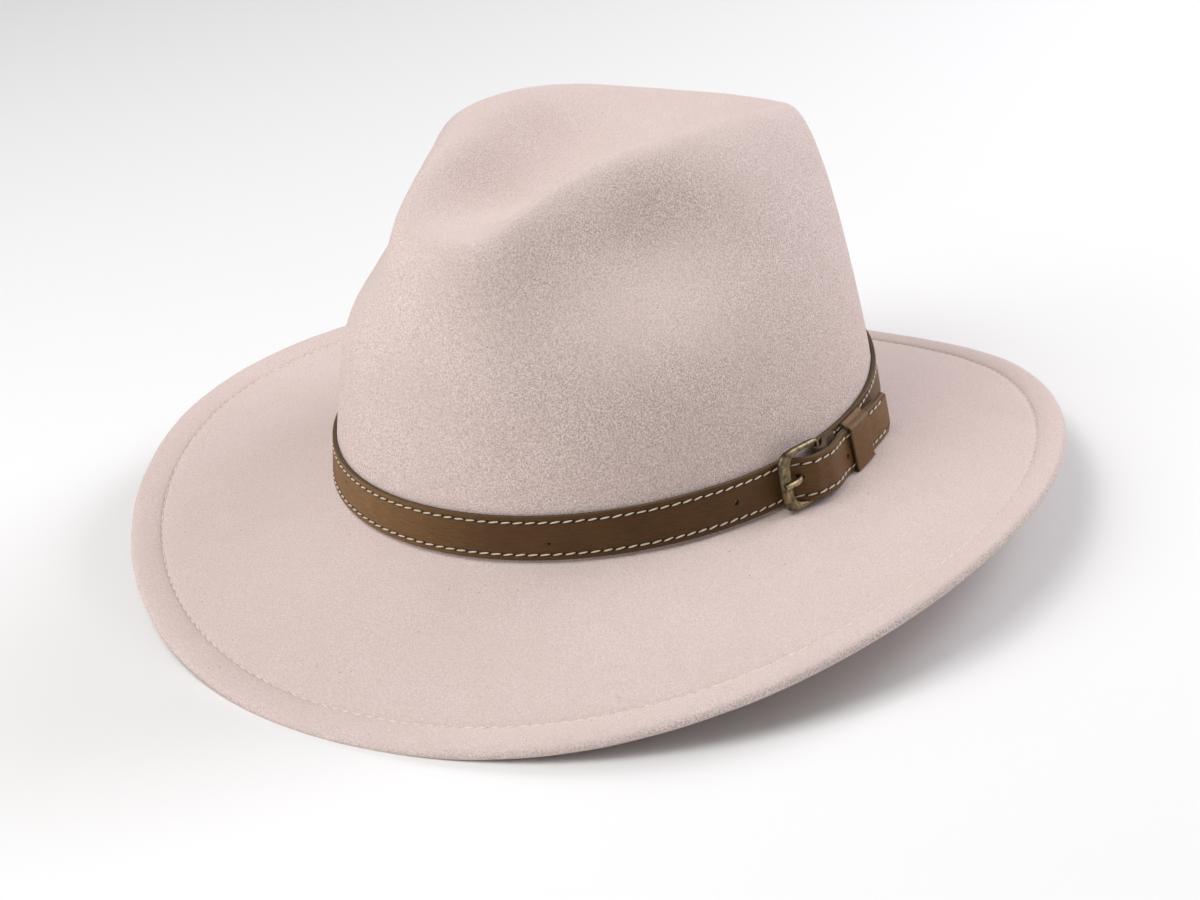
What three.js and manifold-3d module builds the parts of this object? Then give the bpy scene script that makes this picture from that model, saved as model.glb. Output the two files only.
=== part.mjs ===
// A wide-brimmed hat of pale wool felt with a leather belt band, in millimetres.
// +Z is up, the front of the hat faces -Y and its left side faces +X.
// The origin is on the surface that the brim rests on, below the middle of the hat.
//
// The felt is one wall. Its outer face is worked out from a section table: each row gives
// the crown's profile at one angle round from the front, and the two sides are alike.
// The belt is measured in its own terms: "along" runs round the foot of the crown from the
// front centre toward the hat's left, "out" stands off the felt and "up" follows its wall.
import * as THREE from "three";
import { mergeVertices } from "three/addons/utils/BufferGeometryUtils.js";
import Module from "manifold-3d";

// Head opening, outside of the felt at the foot of the crown
const HEAD_HALF_LENGTH = 101.3;
const HEAD_HALF_WIDTH = 85.7;
const ROOT_HEIGHT = 28.0; // mean height of the foot of the crown
const ROOT_PITCH = 0.67; // the foot rises a little to the front
const ROOT_SADDLE = 0.65; // and to front and back against the sides

// Felt
const FELT = 2.0;
const WELT_RISE = 1.8; // the folded edge adds this on top
const WELT_SHARE = 0.125; // of the brim's width that the fold covers
const ROOT_FILLET = 1.1;
const SEGMENTS = 72;

// Crown, one row per section round from the front to the back, both sides alike. Heights
// are above EDGE_HEIGHT, close to the lower edge of the belt. The ridge runs round the
// crease: pointed at the front, widest behind the middle and lowest at the back.
const EDGE_HEIGHT = 29.3;
const RIDGE = [
  { angle: 0, radius: 83.1, height: 94.3 },
  { angle: 8, radius: 80.0, height: 95.5 },
  { angle: 14, radius: 73.2, height: 99.1 },
  { angle: 22, radius: 59.9, height: 103.4 },
  { angle: 34, radius: 47.2, height: 106.6 },
  { angle: 52, radius: 40.8, height: 107.3 },
  { angle: 75, radius: 39.8, height: 107.1 },
  { angle: 98, radius: 41.1, height: 105.9 },
  { angle: 118, radius: 46.4, height: 103.6 },
  { angle: 135, radius: 58.0, height: 99.5 },
  { angle: 150, radius: 71.7, height: 93.8 },
  { angle: 162, radius: 81.8, height: 88.7 },
  { angle: 180, radius: 88.5, height: 85.6 },
];
// The wall below the ridge and the crease inside it: "shoulder" and "dip" say how far the
// felt runs on level to either side of the ridge, "wall" how far it runs straight up from
// EDGE_HEIGHT at its "lean" in degrees, and "flat" how far the crease's floor runs.
const WALL = [
  { angle: 0, shoulder: 5.2, wall: 87.0, lean: 3.5, dip: 0.35, flat: 0.45 },
  { angle: 30, shoulder: 14.8, wall: 65.1, lean: 4.0, dip: 0.37, flat: 0.66 },
  { angle: 60, shoulder: 15.6, wall: 51.6, lean: 7.1, dip: 0.43, flat: 0.63 },
  { angle: 90, shoulder: 10.0, wall: 74.6, lean: 7.8, dip: 0.45, flat: 0.59 },
  { angle: 135, shoulder: 17.6, wall: 51.2, lean: 5.4, dip: 0.35, flat: 0.59 },
  { angle: 180, shoulder: 14.0, wall: 53.0, lean: 7.1, dip: 0.45, flat: 0.53 },
];
const CREASE_FLOOR = 82.9; // height of the crease's floor
// Soft forms pressed into the wall on both sides: a pinch below the ridge and a swell under it
const PRESSED = [
  { angle: 46.4, height: 80.5, spread: 27.5, tall: 19.8, depth: 16.5 },
  { angle: 41.1, height: 73.4, spread: 33.4, tall: 28.4, depth: -6.3 },
];

// Brim: cosine series round from the front
const BRIM_WIDTH = [63.9, 3.4, -3.0, -1.4, -0.9];
const BRIM_DROP = [-15.4, -1.2, -12.5, 0.2, -0.9, 1.0];
const BRIM_SHIFT = -2.9; // the brim sits a little forward of the crown
const BRIM_START_SLOPE = [-0.45, 0.12, -0.12];
const BRIM_END_SLOPE = [-0.18, -0.14, -0.17, -0.04];

// Belt
const BELT_GAP = 0.4;
const LEATHER = 1.4;
const BELT_WIDTH = 14.1;
const BELT_BOTTOM = 1.1; // above the foot of the crown
const FREE_WIDTH = 13.9; // the free end is a little narrower
const HEEL_AT = 131;
const HEEL_OUT = 3.3;
const HEEL_RADIUS = 0.8;
const FOLD_END_AT = 142;
const TIP_AT = 182;
const TIP_CHAMFER = 2.5;
const TIP_DROOP = 1.4;
const FELT_ROUND = 588.5; // length of the foot of the crown, outside

// Buckle, keeper and prong
const FRAME_FRONT_AT = 113.8;
const FRAME_OUT = 4.6;
const FRAME_LOW = -0.7;
const FRAME_HIGH = 18.8;
const FRAME_BAR = { across: 4.8, thick: 2.6 };
const FRAME_LEG = { across: 1.45, thick: 1.9 };
const PRONG_WIDTH = 1.8;
const PRONG_UP = 8.9; // its middle above the foot of the crown
const KEEPER_AT = 153;
const KEEPER_WIDTH = 13;
const KEEPER_LEATHER = 1.0;

// A cubic spline through the values, level at both ends.
function spline(xs, ys) {
  const n = xs.length;
  const slopes = new Array(n).fill(0);
  for (let pass = 0; pass < 80; pass += 1) {
    for (let i = 1; i < n - 1; i += 1) {
      const before = xs[i] - xs[i - 1];
      const after = xs[i + 1] - xs[i];
      const rise = (3 * (ys[i] - ys[i - 1])) / before ** 2 + (3 * (ys[i + 1] - ys[i])) / after ** 2;
      const known = rise - slopes[i - 1] / before - slopes[i + 1] / after;
      slopes[i] = known / (2 / before + 2 / after);
    }
  }
  return (x) => {
    let i = 0;
    while (i < n - 2 && x > xs[i + 1]) i += 1;
    const span = xs[i + 1] - xs[i];
    return hermite(ys[i], slopes[i] * span, ys[i + 1], slopes[i + 1] * span, (x - xs[i]) / span);
  };
}

function hermite(a, slopeA, b, slopeB, t) {
  const t2 = t * t;
  const t3 = t2 * t;
  const ends = a * (2 * t3 - 3 * t2 + 1) + b * (3 * t2 - 2 * t3);
  return ends + slopeA * (t3 - 2 * t2 + t) + slopeB * (t3 - t2);
}

function bezier(a, b, c, d, t) {
  const m = 1 - t;
  return m * m * m * a + 3 * m * m * t * b + 3 * m * t * t * c + t * t * t * d;
}

const series = (terms, angle) => terms.reduce((sum, k, i) => sum + k * Math.cos(i * angle), 0);
const smooth = (t) => THREE.MathUtils.smoothstep(t, 0, 1);
const fromFront = (angle) => {
  const degrees = Math.abs(THREE.MathUtils.radToDeg(angle)) % 360;
  return degrees > 180 ? 360 - degrees : degrees;
};
const byAngle = (table, key) => {
  const curve = spline(table.map((row) => row.angle), table.map((row) => row[key]));
  return (angle) => curve(fromFront(angle));
};
const section = {
  ridge: byAngle(RIDGE, "radius"),
  height: byAngle(RIDGE, "height"),
  shoulder: byAngle(WALL, "shoulder"),
  wall: byAngle(WALL, "wall"),
  lean: byAngle(WALL, "lean"),
  dip: byAngle(WALL, "dip"),
  flat: byAngle(WALL, "flat"),
};

const headRadius = (angle) =>
  1 / Math.hypot(Math.sin(angle) / HEAD_HALF_WIDTH, Math.cos(angle) / HEAD_HALF_LENGTH);
const rootHeight = (angle) =>
  ROOT_HEIGHT + ROOT_PITCH * Math.cos(angle) + ROOT_SADDLE * Math.cos(2 * angle);
const plan = (radius, angle, z) =>
  new THREE.Vector3(radius * Math.sin(angle), -radius * Math.cos(angle), z);

// The outer face of the felt: run 0 to 1 is the crease from its middle to the ridge,
// 1 to 2 the crown's wall, 2 to 3 the turn at its foot and 3 to 4 the brim.
function feltFace(angle, run) {
  const ridge = section.ridge(angle);
  const top = EDGE_HEIGHT + section.height(angle);
  const foot = headRadius(angle);
  const base = rootHeight(angle);
  const lean = THREE.MathUtils.degToRad(section.lean(angle));
  if (run <= 1) {
    const floor = EDGE_HEIGHT + CREASE_FLOOR;
    const flat = ridge * section.flat(angle);
    const radius = bezier(0, flat, ridge * (1 - section.dip(angle)), ridge, run);
    return plan(radius, angle, bezier(floor, floor, top, top, run));
  }
  const wallFoot = foot - ROOT_FILLET * Math.sin(lean);
  const wallBase = base + ROOT_FILLET * Math.cos(lean);
  if (run <= 2) {
    const t = run - 1;
    const tall = section.wall(angle);
    const shoulder = ridge + section.shoulder(angle);
    const z = bezier(top, top, wallBase + Math.cos(lean) * tall, wallBase, t);
    let radius = bezier(ridge, shoulder, wallFoot - Math.sin(lean) * tall, wallFoot, t);
    PRESSED.forEach((form) => {
      const aside = (fromFront(angle) - form.angle) / form.spread;
      const above = (z - EDGE_HEIGHT - form.height) / form.tall;
      radius -= form.depth * Math.exp(-aside * aside - above * above) * smooth(t / 0.22);
    });
    return plan(radius, angle, z);
  }
  const startSlope = series(BRIM_START_SLOPE, angle);
  const brimFoot = foot + ROOT_FILLET;
  const brimBase = base + startSlope * ROOT_FILLET;
  if (run <= 3) {
    const t = run - 2;
    const m = 1 - t;
    const radius = m * m * wallFoot + 2 * m * t * foot + t * t * brimFoot;
    const z = m * m * wallBase + 2 * m * t * base + t * t * brimBase;
    return plan(radius, angle, z);
  }
  const t = run - 3;
  const round = (FELT + WELT_RISE) / 2;
  const width = series(BRIM_WIDTH, angle) - round;
  const edgeZ = EDGE_HEIGHT + series(BRIM_DROP, angle);
  const inner = plan(brimFoot, angle, 0);
  const outer = plan(foot + width, angle, 0);
  outer.y += BRIM_SHIFT;
  const point = inner.lerp(outer, t);
  point.z = hermite(brimBase, startSlope * width, edgeZ, series(BRIM_END_SLOPE, angle) * width, t);
  return point;
}

// A point off the felt's face: "depth" goes into the felt and "beyond" goes on past it.
function feltPoint(angle, run, depth, beyond) {
  const step = 0.002;
  const face = feltFace(angle, run);
  const low = Math.max(run - step, 0.02);
  const high = Math.min(Math.max(run + step, 0.04), 4);
  const onward = feltFace(angle, high).sub(feltFace(angle, low)).normalize();
  const sideways = feltFace(angle + step, Math.max(run, 0.02))
    .sub(feltFace(angle - step, Math.max(run, 0.02)))
    .normalize();
  const normal = onward.clone().cross(sideways).normalize();
  if (run < 0.02) normal.set(0, 0, 1);
  face.addScaledVector(normal, -depth).addScaledVector(onward, beyond);
  face.z = Math.max(face.z, 0); // the brim lies flat where it meets the surface
  return face;
}

// Rings of the felt body from the middle of the crease, over the edge and back inside
function feltRings() {
  const rings = [];
  const add = (runs, depth) => runs.forEach((run) => rings.push({ run, depth, beyond: 0 }));
  const seam = 4 - WELT_SHARE;
  add([0, 0.16, 0.32, 0.48, 0.62, 0.75, 0.88, 1], 0);
  add([1.06, 1.13, 1.21, 1.3, 1.4, 1.5, 1.6, 1.7, 1.8, 1.9, 2], 0);
  add([2.5, 3, 3.2, 3.4, 3.6, 3.76, seam - 0.004], 0);
  add([seam + 0.004, 4], -WELT_RISE);
  const round = (FELT + WELT_RISE) / 2;
  const middle = (FELT - WELT_RISE) / 2;
  [36, 72, 108, 144].forEach((turn) => {
    const a = THREE.MathUtils.degToRad(turn);
    rings.push({ run: 4, depth: middle - round * Math.cos(a), beyond: round * Math.sin(a) });
  });
  add([4, 3.95, 3.85, 3.6, 3.3, 3, 2.5, 2, 1.88, 1.76, 1.63, 1.5, 1.37, 1.25, 1.15, 1.07, 1], FELT);
  add([0.85, 0.65, 0.45, 0.2, 0], FELT);
  return rings;
}

// One closed body: shared corners merged, and faces without area dropped.
function closed(geometry) {
  geometry.deleteAttribute("normal");
  geometry.deleteAttribute("uv");
  const merged = mergeVertices(geometry, 1e-3);
  const index = merged.index.array;
  const kept = [];
  for (let i = 0; i < index.length; i += 3) {
    const [a, b, c] = [index[i], index[i + 1], index[i + 2]];
    if (a !== b && b !== c && c !== a) kept.push(a, b, c);
  }
  merged.setIndex(kept);
  merged.computeVertexNormals();
  return merged;
}

function feltBody() {
  const rings = feltRings();
  const last = rings.length - 1;
  const profile = rings.map((ring, j) => new THREE.Vector2(j === 0 || j === last ? 0 : 1, j));
  const geometry = new THREE.LatheGeometry(profile, SEGMENTS);
  const position = geometry.getAttribute("position");
  for (let i = 0; i <= SEGMENTS; i += 1) {
    const angle = (2 * Math.PI * (i % SEGMENTS)) / SEGMENTS;
    rings.forEach((ring, j) => {
      const p = feltPoint(angle, ring.run, ring.depth, ring.beyond);
      position.setXYZ(i * rings.length + j, p.x, p.y, p.z);
    });
  }
  return closed(geometry);
}

// Angle round the crown for a length along the foot of its wall
const FOOT_STEPS = 1440;
const footLength = [0];
for (let i = 1; i <= FOOT_STEPS; i += 1) {
  const a = (2 * Math.PI * (i - 1)) / FOOT_STEPS;
  const b = (2 * Math.PI * i) / FOOT_STEPS;
  const step = plan(headRadius(b), b, 0).distanceTo(plan(headRadius(a), a, 0));
  footLength.push(footLength[i - 1] + step);
}
function angleAt(along) {
  const whole = footLength[FOOT_STEPS];
  const wrapped = ((along % whole) + whole) % whole;
  let i = 1;
  while (footLength[i] < wrapped) i += 1;
  const t = (wrapped - footLength[i - 1]) / (footLength[i] - footLength[i - 1]);
  return (2 * Math.PI * (i - 1 + t)) / FOOT_STEPS;
}

// How far the crown's wall leans in behind the belt, per millimetre up
function wallLean(angle) {
  const goal = rootHeight(angle) + BELT_WIDTH;
  let above = 1.4;
  let below = 2;
  for (let k = 0; k < 20; k += 1) {
    const run = (above + below) / 2;
    if (feltFace(angle, run).z > goal) above = run;
    else below = run;
  }
  const face = feltFace(angle, above);
  return (headRadius(angle) - Math.hypot(face.x, face.y)) / BELT_WIDTH;
}

// Place in the hat's frame of a point given along, out and up
function onFoot(along, out, up) {
  const angle = angleAt(along);
  const point = plan(headRadius(angle), angle, rootHeight(angle) + up);
  const away = new THREE.Vector3(
    point.x / HEAD_HALF_WIDTH ** 2,
    point.y / HEAD_HALF_LENGTH ** 2,
    0,
  ).normalize();
  return point.addScaledVector(away, out - up * wallLean(angle));
}

// Distance of the belt strip's middle from the felt. The base run lies on the crown, stands
// off at the keeper, and the free end climbs through the buckle and lies down on the base.
const LAID = BELT_GAP + LEATHER / 2;
const LAYER = LEATHER + 0.3;
const FOLD_RADIUS = HEEL_RADIUS + 0.33 + LEATHER / 2;
const HIGH = HEEL_OUT + FOLD_RADIUS + LAYER; // the free end where it passes over the fold
const UNDER_KEEPER = 4.0;
const BASE_STEPS = [{ from: 0, to: 9, start: HEEL_OUT - FOLD_RADIUS, end: LAID }];
const FREE_STEPS = [
  { from: -17, to: -1, start: LAID, end: HIGH },
  { from: 2, to: 15, start: HIGH, end: UNDER_KEEPER },
  { from: 30, to: 52, start: UNDER_KEEPER, end: 5.2 },
];
// How far the free end sinks toward the brim past the buckle, more the further it stands off
function droop(along, out) {
  const share = THREE.MathUtils.clamp((out - 2) / 3.2, 0, 1);
  return TIP_DROOP * share * smooth((along - FELT_ROUND - 134) / 38);
}

function stepped(steps, along) {
  let out = steps[0].start;
  steps.forEach((s) => {
    out += (s.end - s.start) * smooth((along - HEEL_AT - s.from) / (s.to - s.from));
  });
  return out;
}

// The strip's middle line as stations of along, out and half width about a middle height
function beltStations() {
  const stations = [];
  const push = (along, out, width, turned = 0) =>
    stations.push({ along, out, bottom: BELT_BOTTOM, width, turned });
  [FOLD_END_AT, 139, 136.5, 134, 132.5].forEach((along) => {
    const fall = smooth((along - HEEL_AT) / 8);
    push(along, HEEL_OUT + FOLD_RADIUS - fall * (HEEL_OUT + FOLD_RADIUS - LAID - LAYER), BELT_WIDTH);
  });
  for (let k = 0; k <= 6; k += 1) {
    const a = Math.PI / 2 + (Math.PI * k) / 6;
    push(HEEL_AT + FOLD_RADIUS * Math.cos(a), HEEL_OUT + FOLD_RADIUS * Math.sin(a), BELT_WIDTH);
  }
  [133, 135, 137, 139, 142, 146, 151, 156, 160, 163, 166, 169].forEach((along) => {
    push(along, stepped(BASE_STEPS, along), BELT_WIDTH);
  });
  const runs = 76;
  const ends = FELT_ROUND + HEEL_AT - 30;
  for (let k = 1; k <= runs; k += 1) {
    const along = 169 + ((ends - 169) * k) / runs;
    const narrowing = smooth((along - ends + 20) / 20);
    push(along, LAID, BELT_WIDTH + (FREE_WIDTH - BELT_WIDTH) * narrowing);
  }
  for (let k = 1; k <= 34; k += 1) {
    const along = HEEL_AT - 30 + ((TIP_AT - TIP_CHAMFER - HEEL_AT + 30) * k) / 34;
    push(along + FELT_ROUND, stepped(FREE_STEPS, along), FREE_WIDTH);
  }
  push(TIP_AT + FELT_ROUND, stepped(FREE_STEPS, TIP_AT), FREE_WIDTH * 0.72);
  return stations;
}

// A strip swept through its stations: an extruded box whose rings of corners are moved there
function hatBand(wasm) {
  const stations = beltStations();
  const steps = stations.length - 1;
  const box = new THREE.BoxGeometry(1, 1, steps, 1, 1, steps);
  const position = box.getAttribute("position");
  for (let i = 0; i < position.count; i += 1) {
    const k = Math.round(position.getZ(i) + steps / 2);
    const here = stations[k];
    const before = stations[Math.max(k - 1, 0)];
    const after = stations[Math.min(k + 1, steps)];
    const heading = new THREE.Vector2(after.along - before.along, after.out - before.out);
    heading.normalize();
    const half = position.getY(i) > 0 ? LEATHER / 2 : -LEATHER / 2;
    const up = here.bottom + BELT_WIDTH / 2 + Math.sign(position.getX(i)) * (here.width / 2);
    const drop = (BELT_WIDTH - here.width) / 2;
    const lowered = k === steps ? (BELT_WIDTH - FREE_WIDTH) / 2 : drop;
    const along = here.along - heading.y * half;
    const out = here.out + heading.x * half;
    const p = onFoot(along, out, up - lowered - droop(along, out));
    position.setXYZ(i, p.x, p.y, p.z);
  }
  let strip = asSolid(wasm, closed(box));
  strip = strip.subtract(slot(wasm, HEEL_AT - 3.6, HEEL_AT + 4.5, -2, 6.2, PRONG_UP, 3));
  strip = strip.subtract(slot(wasm, HEEL_AT - 12.9, HEEL_AT - 8.9, 1, 8, PRONG_UP, 2.5));
  return fromSolid(strip);
}

// A slot through the strip between two lengths along and two distances out
function slot(wasm, from, to, near, far, middle, wide) {
  const box = new THREE.BoxGeometry(1, 1, 1);
  const position = box.getAttribute("position");
  for (let i = 0; i < position.count; i += 1) {
    const along = position.getX(i) > 0 ? to : from;
    const out = position.getY(i) > 0 ? far : near;
    const up = middle + Math.sign(position.getZ(i)) * (wide / 2);
    const p = onFoot(along, out, up);
    position.setXYZ(i, p.x, p.y, p.z);
  }
  return asSolid(wasm, closed(box));
}

function asSolid(wasm, geometry) {
  const mesh = new wasm.Mesh({
    numProp: 3,
    vertProperties: new Float32Array(geometry.getAttribute("position").array),
    triVerts: new Uint32Array(geometry.index.array),
  });
  const made = new wasm.Manifold(mesh);
  if (made.volume() >= 0) return made;
  mesh.triVerts.reverse();
  return new wasm.Manifold(mesh);
}

function fromSolid(made) {
  const mesh = made.getMesh();
  const geometry = new THREE.BufferGeometry();
  geometry.setAttribute("position", new THREE.BufferAttribute(mesh.vertProperties, 3));
  geometry.setIndex(new THREE.BufferAttribute(mesh.triVerts, 1));
  geometry.computeVertexNormals();
  return geometry;
}

// The buckle frame: a ring between an outer outline and the window inside it, wide and flat
// at the front bar, slimmer in the legs and thin at the heel bar that the strip is folded over
function buckleFrame() {
  const around = 48;
  const about = 10;
  const ring = new THREE.TorusGeometry(10, 1, about, around);
  const position = ring.getAttribute("position");
  const front = FRAME_BAR.across / 2;
  const leg = FRAME_LEG.across;
  const outline = {
    from: FRAME_FRONT_AT - front,
    to: HEEL_AT + HEEL_RADIUS,
    low: FRAME_LOW,
    high: FRAME_HIGH,
  };
  const window = {
    from: FRAME_FRONT_AT + front,
    to: HEEL_AT - HEEL_RADIUS,
    low: FRAME_LOW + leg,
    high: FRAME_HIGH - leg,
  };
  const middle = (FRAME_LOW + FRAME_HIGH) / 2;
  for (let j = 0; j <= about; j += 1) {
    for (let i = 0; i <= around; i += 1) {
      const u = (2 * Math.PI * (i % around)) / around;
      const v = (2 * Math.PI * (j % about)) / about;
      const outside = roundedPath(u, outline, Math.cos(u) > 0 ? 0.26 : 0.5);
      const inside = roundedPath(u, window, Math.cos(u) > 0 ? 0.06 : 0.42);
      const wider = 0.1 * ((HEEL_AT - inside.x) / (HEEL_AT - FRAME_FRONT_AT)) ** 3;
      inside.y += (middle - inside.y) * wider; // the legs are wider toward the front bar
      const place = outside.clone().lerp(inside, (1 - Math.cos(v)) / 2);
      const share = (place.x - outline.from) / (outline.to - outline.from);
      const bar = smooth((0.4 - share) / 0.3);
      const heel = smooth((share - 0.6) / 0.3);
      const thin = 2 * HEEL_RADIUS - FRAME_LEG.thick;
      const thick = FRAME_LEG.thick + (FRAME_BAR.thick - FRAME_LEG.thick) * bar + thin * heel;
      const out = FRAME_OUT + (HEEL_OUT - FRAME_OUT) * smooth((share - 0.42) / 0.42);
      const p = onFoot(place.x, out + (thick / 2) * Math.sin(v), place.y);
      position.setXYZ(j * (around + 1) + i, p.x, p.y, p.z);
    }
  }
  return closed(ring);
}

// A rectangle with well rounded corners, as a power curve
function roundedPath(u, box, power) {
  const c = Math.cos(u);
  const s = Math.sin(u);
  return new THREE.Vector2(
    (box.from + box.to) / 2 + ((box.to - box.from) / 2) * Math.sign(c) * Math.abs(c) ** power,
    (box.low + box.high) / 2 + ((box.high - box.low) / 2) * Math.sign(s) * Math.abs(s) ** power,
  );
}

// The prong's shaft from the heel bar to its tip on the front bar: distance before the heel
// bar's middle, distance out from it, and half the shaft's thickness
const PRONG_SHAFT = [
  { before: 2.4, out: -0.45, half: 0.56 },
  { before: 4.0, out: -0.85, half: 0.62 },
  { before: 6.0, out: -1.15, half: 0.68 },
  { before: 8.6, out: -1.2, half: 0.72 },
  { before: 9.7, out: -0.9, half: 0.74 },
  { before: 10.5, out: -0.2, half: 0.75 },
  { before: 11.0, out: 0.8, half: 0.75 },
  { before: 11.4, out: 1.8, half: 0.75 },
  { before: 12.0, out: 2.7, half: 0.75 },
  { before: 13.0, out: 3.35, half: 0.74 },
  { before: 14.4, out: 3.6, half: 0.72 },
  { before: 18.5, out: 3.6, half: 0.66 },
  { before: 19.1, out: 3.6, half: 0.4 },
];

// The prong: an eye round the heel bar and its shaft, extruded sideways
function buckleProng() {
  const eye = HEEL_RADIUS + 0.3 + 0.9;
  const side = (sign) =>
    PRONG_SHAFT.map((row, k) => {
      const before = PRONG_SHAFT[Math.max(k - 1, 0)];
      const after = PRONG_SHAFT[Math.min(k + 1, PRONG_SHAFT.length - 1)];
      const heading = new THREE.Vector2(before.before - after.before, after.out - before.out);
      heading.normalize();
      const aside = sign * row.half;
      return new THREE.Vector2(-row.before + heading.y * aside, row.out - heading.x * aside);
    });
  const points = [];
  const turns = 16;
  for (let k = 0; k <= turns; k += 1) {
    const a = Math.PI * 0.82 - (Math.PI * 1.64 * k) / turns;
    points.push(new THREE.Vector2(eye * Math.cos(a), eye * Math.sin(a)));
  }
  points.push(...side(-1), ...side(1).reverse());
  const shape = new THREE.Shape(points);
  const hole = new THREE.Path();
  hole.absarc(0, 0, HEEL_RADIUS + 0.3, 0, 2 * Math.PI, false);
  shape.holes.push(hole);
  const prong = new THREE.ExtrudeGeometry(shape, {
    depth: PRONG_WIDTH,
    bevelEnabled: false,
    curveSegments: 12,
  });
  const position = prong.getAttribute("position");
  const low = PRONG_UP - PRONG_WIDTH / 2;
  for (let i = 0; i < position.count; i += 1) {
    const along = HEEL_AT + position.getX(i);
    const p = onFoot(along, HEEL_OUT + position.getY(i), low + position.getZ(i));
    position.setXYZ(i, p.x, p.y, p.z);
  }
  return closed(prong);
}

// The keeper: a flat leather loop round the free end, with its back against the base run
function keeperLoop() {
  const inner = UNDER_KEEPER - LEATHER / 2 - 0.3;
  const outer = UNDER_KEEPER + LEATHER / 2 + 0.3;
  const low = BELT_BOTTOM - 0.3;
  const high = BELT_BOTTOM + FREE_WIDTH + 0.3;
  const wall = KEEPER_LEATHER;
  const loop = (grow, Kind) => {
    const shape = new Kind();
    const soft = 0.45 + grow;
    shape.moveTo(inner - grow + soft, low - grow);
    shape.lineTo(outer + grow - soft, low - grow);
    shape.quadraticCurveTo(outer + grow, low - grow, outer + grow, low - grow + soft);
    shape.lineTo(outer + grow, high + grow - soft);
    shape.quadraticCurveTo(outer + grow, high + grow, outer + grow - soft, high + grow);
    shape.lineTo(inner - grow + soft, high + grow);
    shape.quadraticCurveTo(inner - grow, high + grow, inner - grow, high + grow - soft);
    shape.lineTo(inner - grow, low - grow + soft);
    shape.quadraticCurveTo(inner - grow, low - grow, inner - grow + soft, low - grow);
    return shape;
  };
  const shape = loop(wall, THREE.Shape);
  shape.holes.push(loop(0, THREE.Path));
  const steps = 4;
  const band = new THREE.ExtrudeGeometry(shape, {
    depth: KEEPER_WIDTH,
    steps,
    bevelEnabled: false,
    curveSegments: 3,
  });
  const position = band.getAttribute("position");
  for (let i = 0; i < position.count; i += 1) {
    const along = KEEPER_AT - KEEPER_WIDTH / 2 + position.getZ(i);
    const out = position.getX(i);
    const p = onFoot(along, out, position.getY(i) - droop(FELT_ROUND + along, out));
    position.setXYZ(i, p.x, p.y, p.z);
  }
  return closed(band);
}

// Faces pointing out: reversed where the moved corners turned a body inside out
function facingOut(wasm, geometry) {
  return fromSolid(asSolid(wasm, geometry));
}

function piece(name, geometry, color, roughness, metalness) {
  const material = new THREE.MeshStandardMaterial({ color, roughness, metalness });
  const mesh = new THREE.Mesh(geometry, material);
  mesh.name = name;
  return mesh;
}

const wasm = await Module();
wasm.setup();

const hat = new THREE.Group();
// The middle of the brim comes over the origin
hat.position.y = BRIM_WIDTH[1] + BRIM_WIDTH[3] - BRIM_SHIFT;
hat.add(piece("felt_body", facingOut(wasm, feltBody()), 0xdccbc4, 0.95, 0));
hat.add(piece("hat_band", hatBand(wasm), 0x6e4f30, 0.55, 0));
hat.add(piece("buckle_frame", facingOut(wasm, buckleFrame()), 0x8f7d5c, 0.4, 0.9));
hat.add(piece("buckle_prong", facingOut(wasm, buckleProng()), 0xa08a62, 0.38, 0.9));
hat.add(piece("keeper_loop", facingOut(wasm, keeperLoop()), 0x7d5b3b, 0.55, 0));

export default hat;
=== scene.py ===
# %% [markdown]
# # A wool felt hat with a leather belt band
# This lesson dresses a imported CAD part: a wide-brimmed hat of pale wool felt with a creased
# and pinched crown. A stitched leather strap runs round the foot of the crown, through a
# small brass buckle and a leather keeper. The CAD part gives the frame and the places, and
# every piece here is modelled where its solid is.

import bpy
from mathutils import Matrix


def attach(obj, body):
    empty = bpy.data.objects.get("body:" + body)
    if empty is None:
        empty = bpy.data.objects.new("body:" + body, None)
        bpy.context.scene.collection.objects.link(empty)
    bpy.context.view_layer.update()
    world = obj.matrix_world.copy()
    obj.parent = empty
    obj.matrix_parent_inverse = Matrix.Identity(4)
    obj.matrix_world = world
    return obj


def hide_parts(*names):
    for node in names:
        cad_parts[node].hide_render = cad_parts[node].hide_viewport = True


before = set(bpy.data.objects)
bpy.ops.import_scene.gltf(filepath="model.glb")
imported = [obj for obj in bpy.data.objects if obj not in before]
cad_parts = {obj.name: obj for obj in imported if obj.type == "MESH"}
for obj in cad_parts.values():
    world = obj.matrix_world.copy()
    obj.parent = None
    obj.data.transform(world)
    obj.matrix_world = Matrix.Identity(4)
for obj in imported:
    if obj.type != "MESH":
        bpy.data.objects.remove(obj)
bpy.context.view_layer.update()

# %% [markdown]
# ## Helpers
# Blender measures in metres, but a hatter thinks in millimetres. So every shape is worked
# out in millimetres and turned to metres once, when its piece is finished. A finished piece
# sits at the origin with its place in its mesh and rides on the CAD body.

# %% Finishing a piece
import math

import bmesh
import bpy
import numpy as np
from mathutils import Matrix, Vector, noise

MM = 0.001


def corners(mesh):
    """The places of a mesh's or bmesh's vertices as one array."""
    if isinstance(mesh, bmesh.types.BMesh):
        return np.array([v.co for v in mesh.verts], float).reshape(-1, 3)
    flat = np.zeros(len(mesh.vertices) * 3, np.float32)
    mesh.vertices.foreach_get("co", flat)
    return flat.reshape(-1, 3).astype(float)


def place_all(bm, places):
    for vert, place in zip(bm.verts, places):
        vert.co = place


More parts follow.
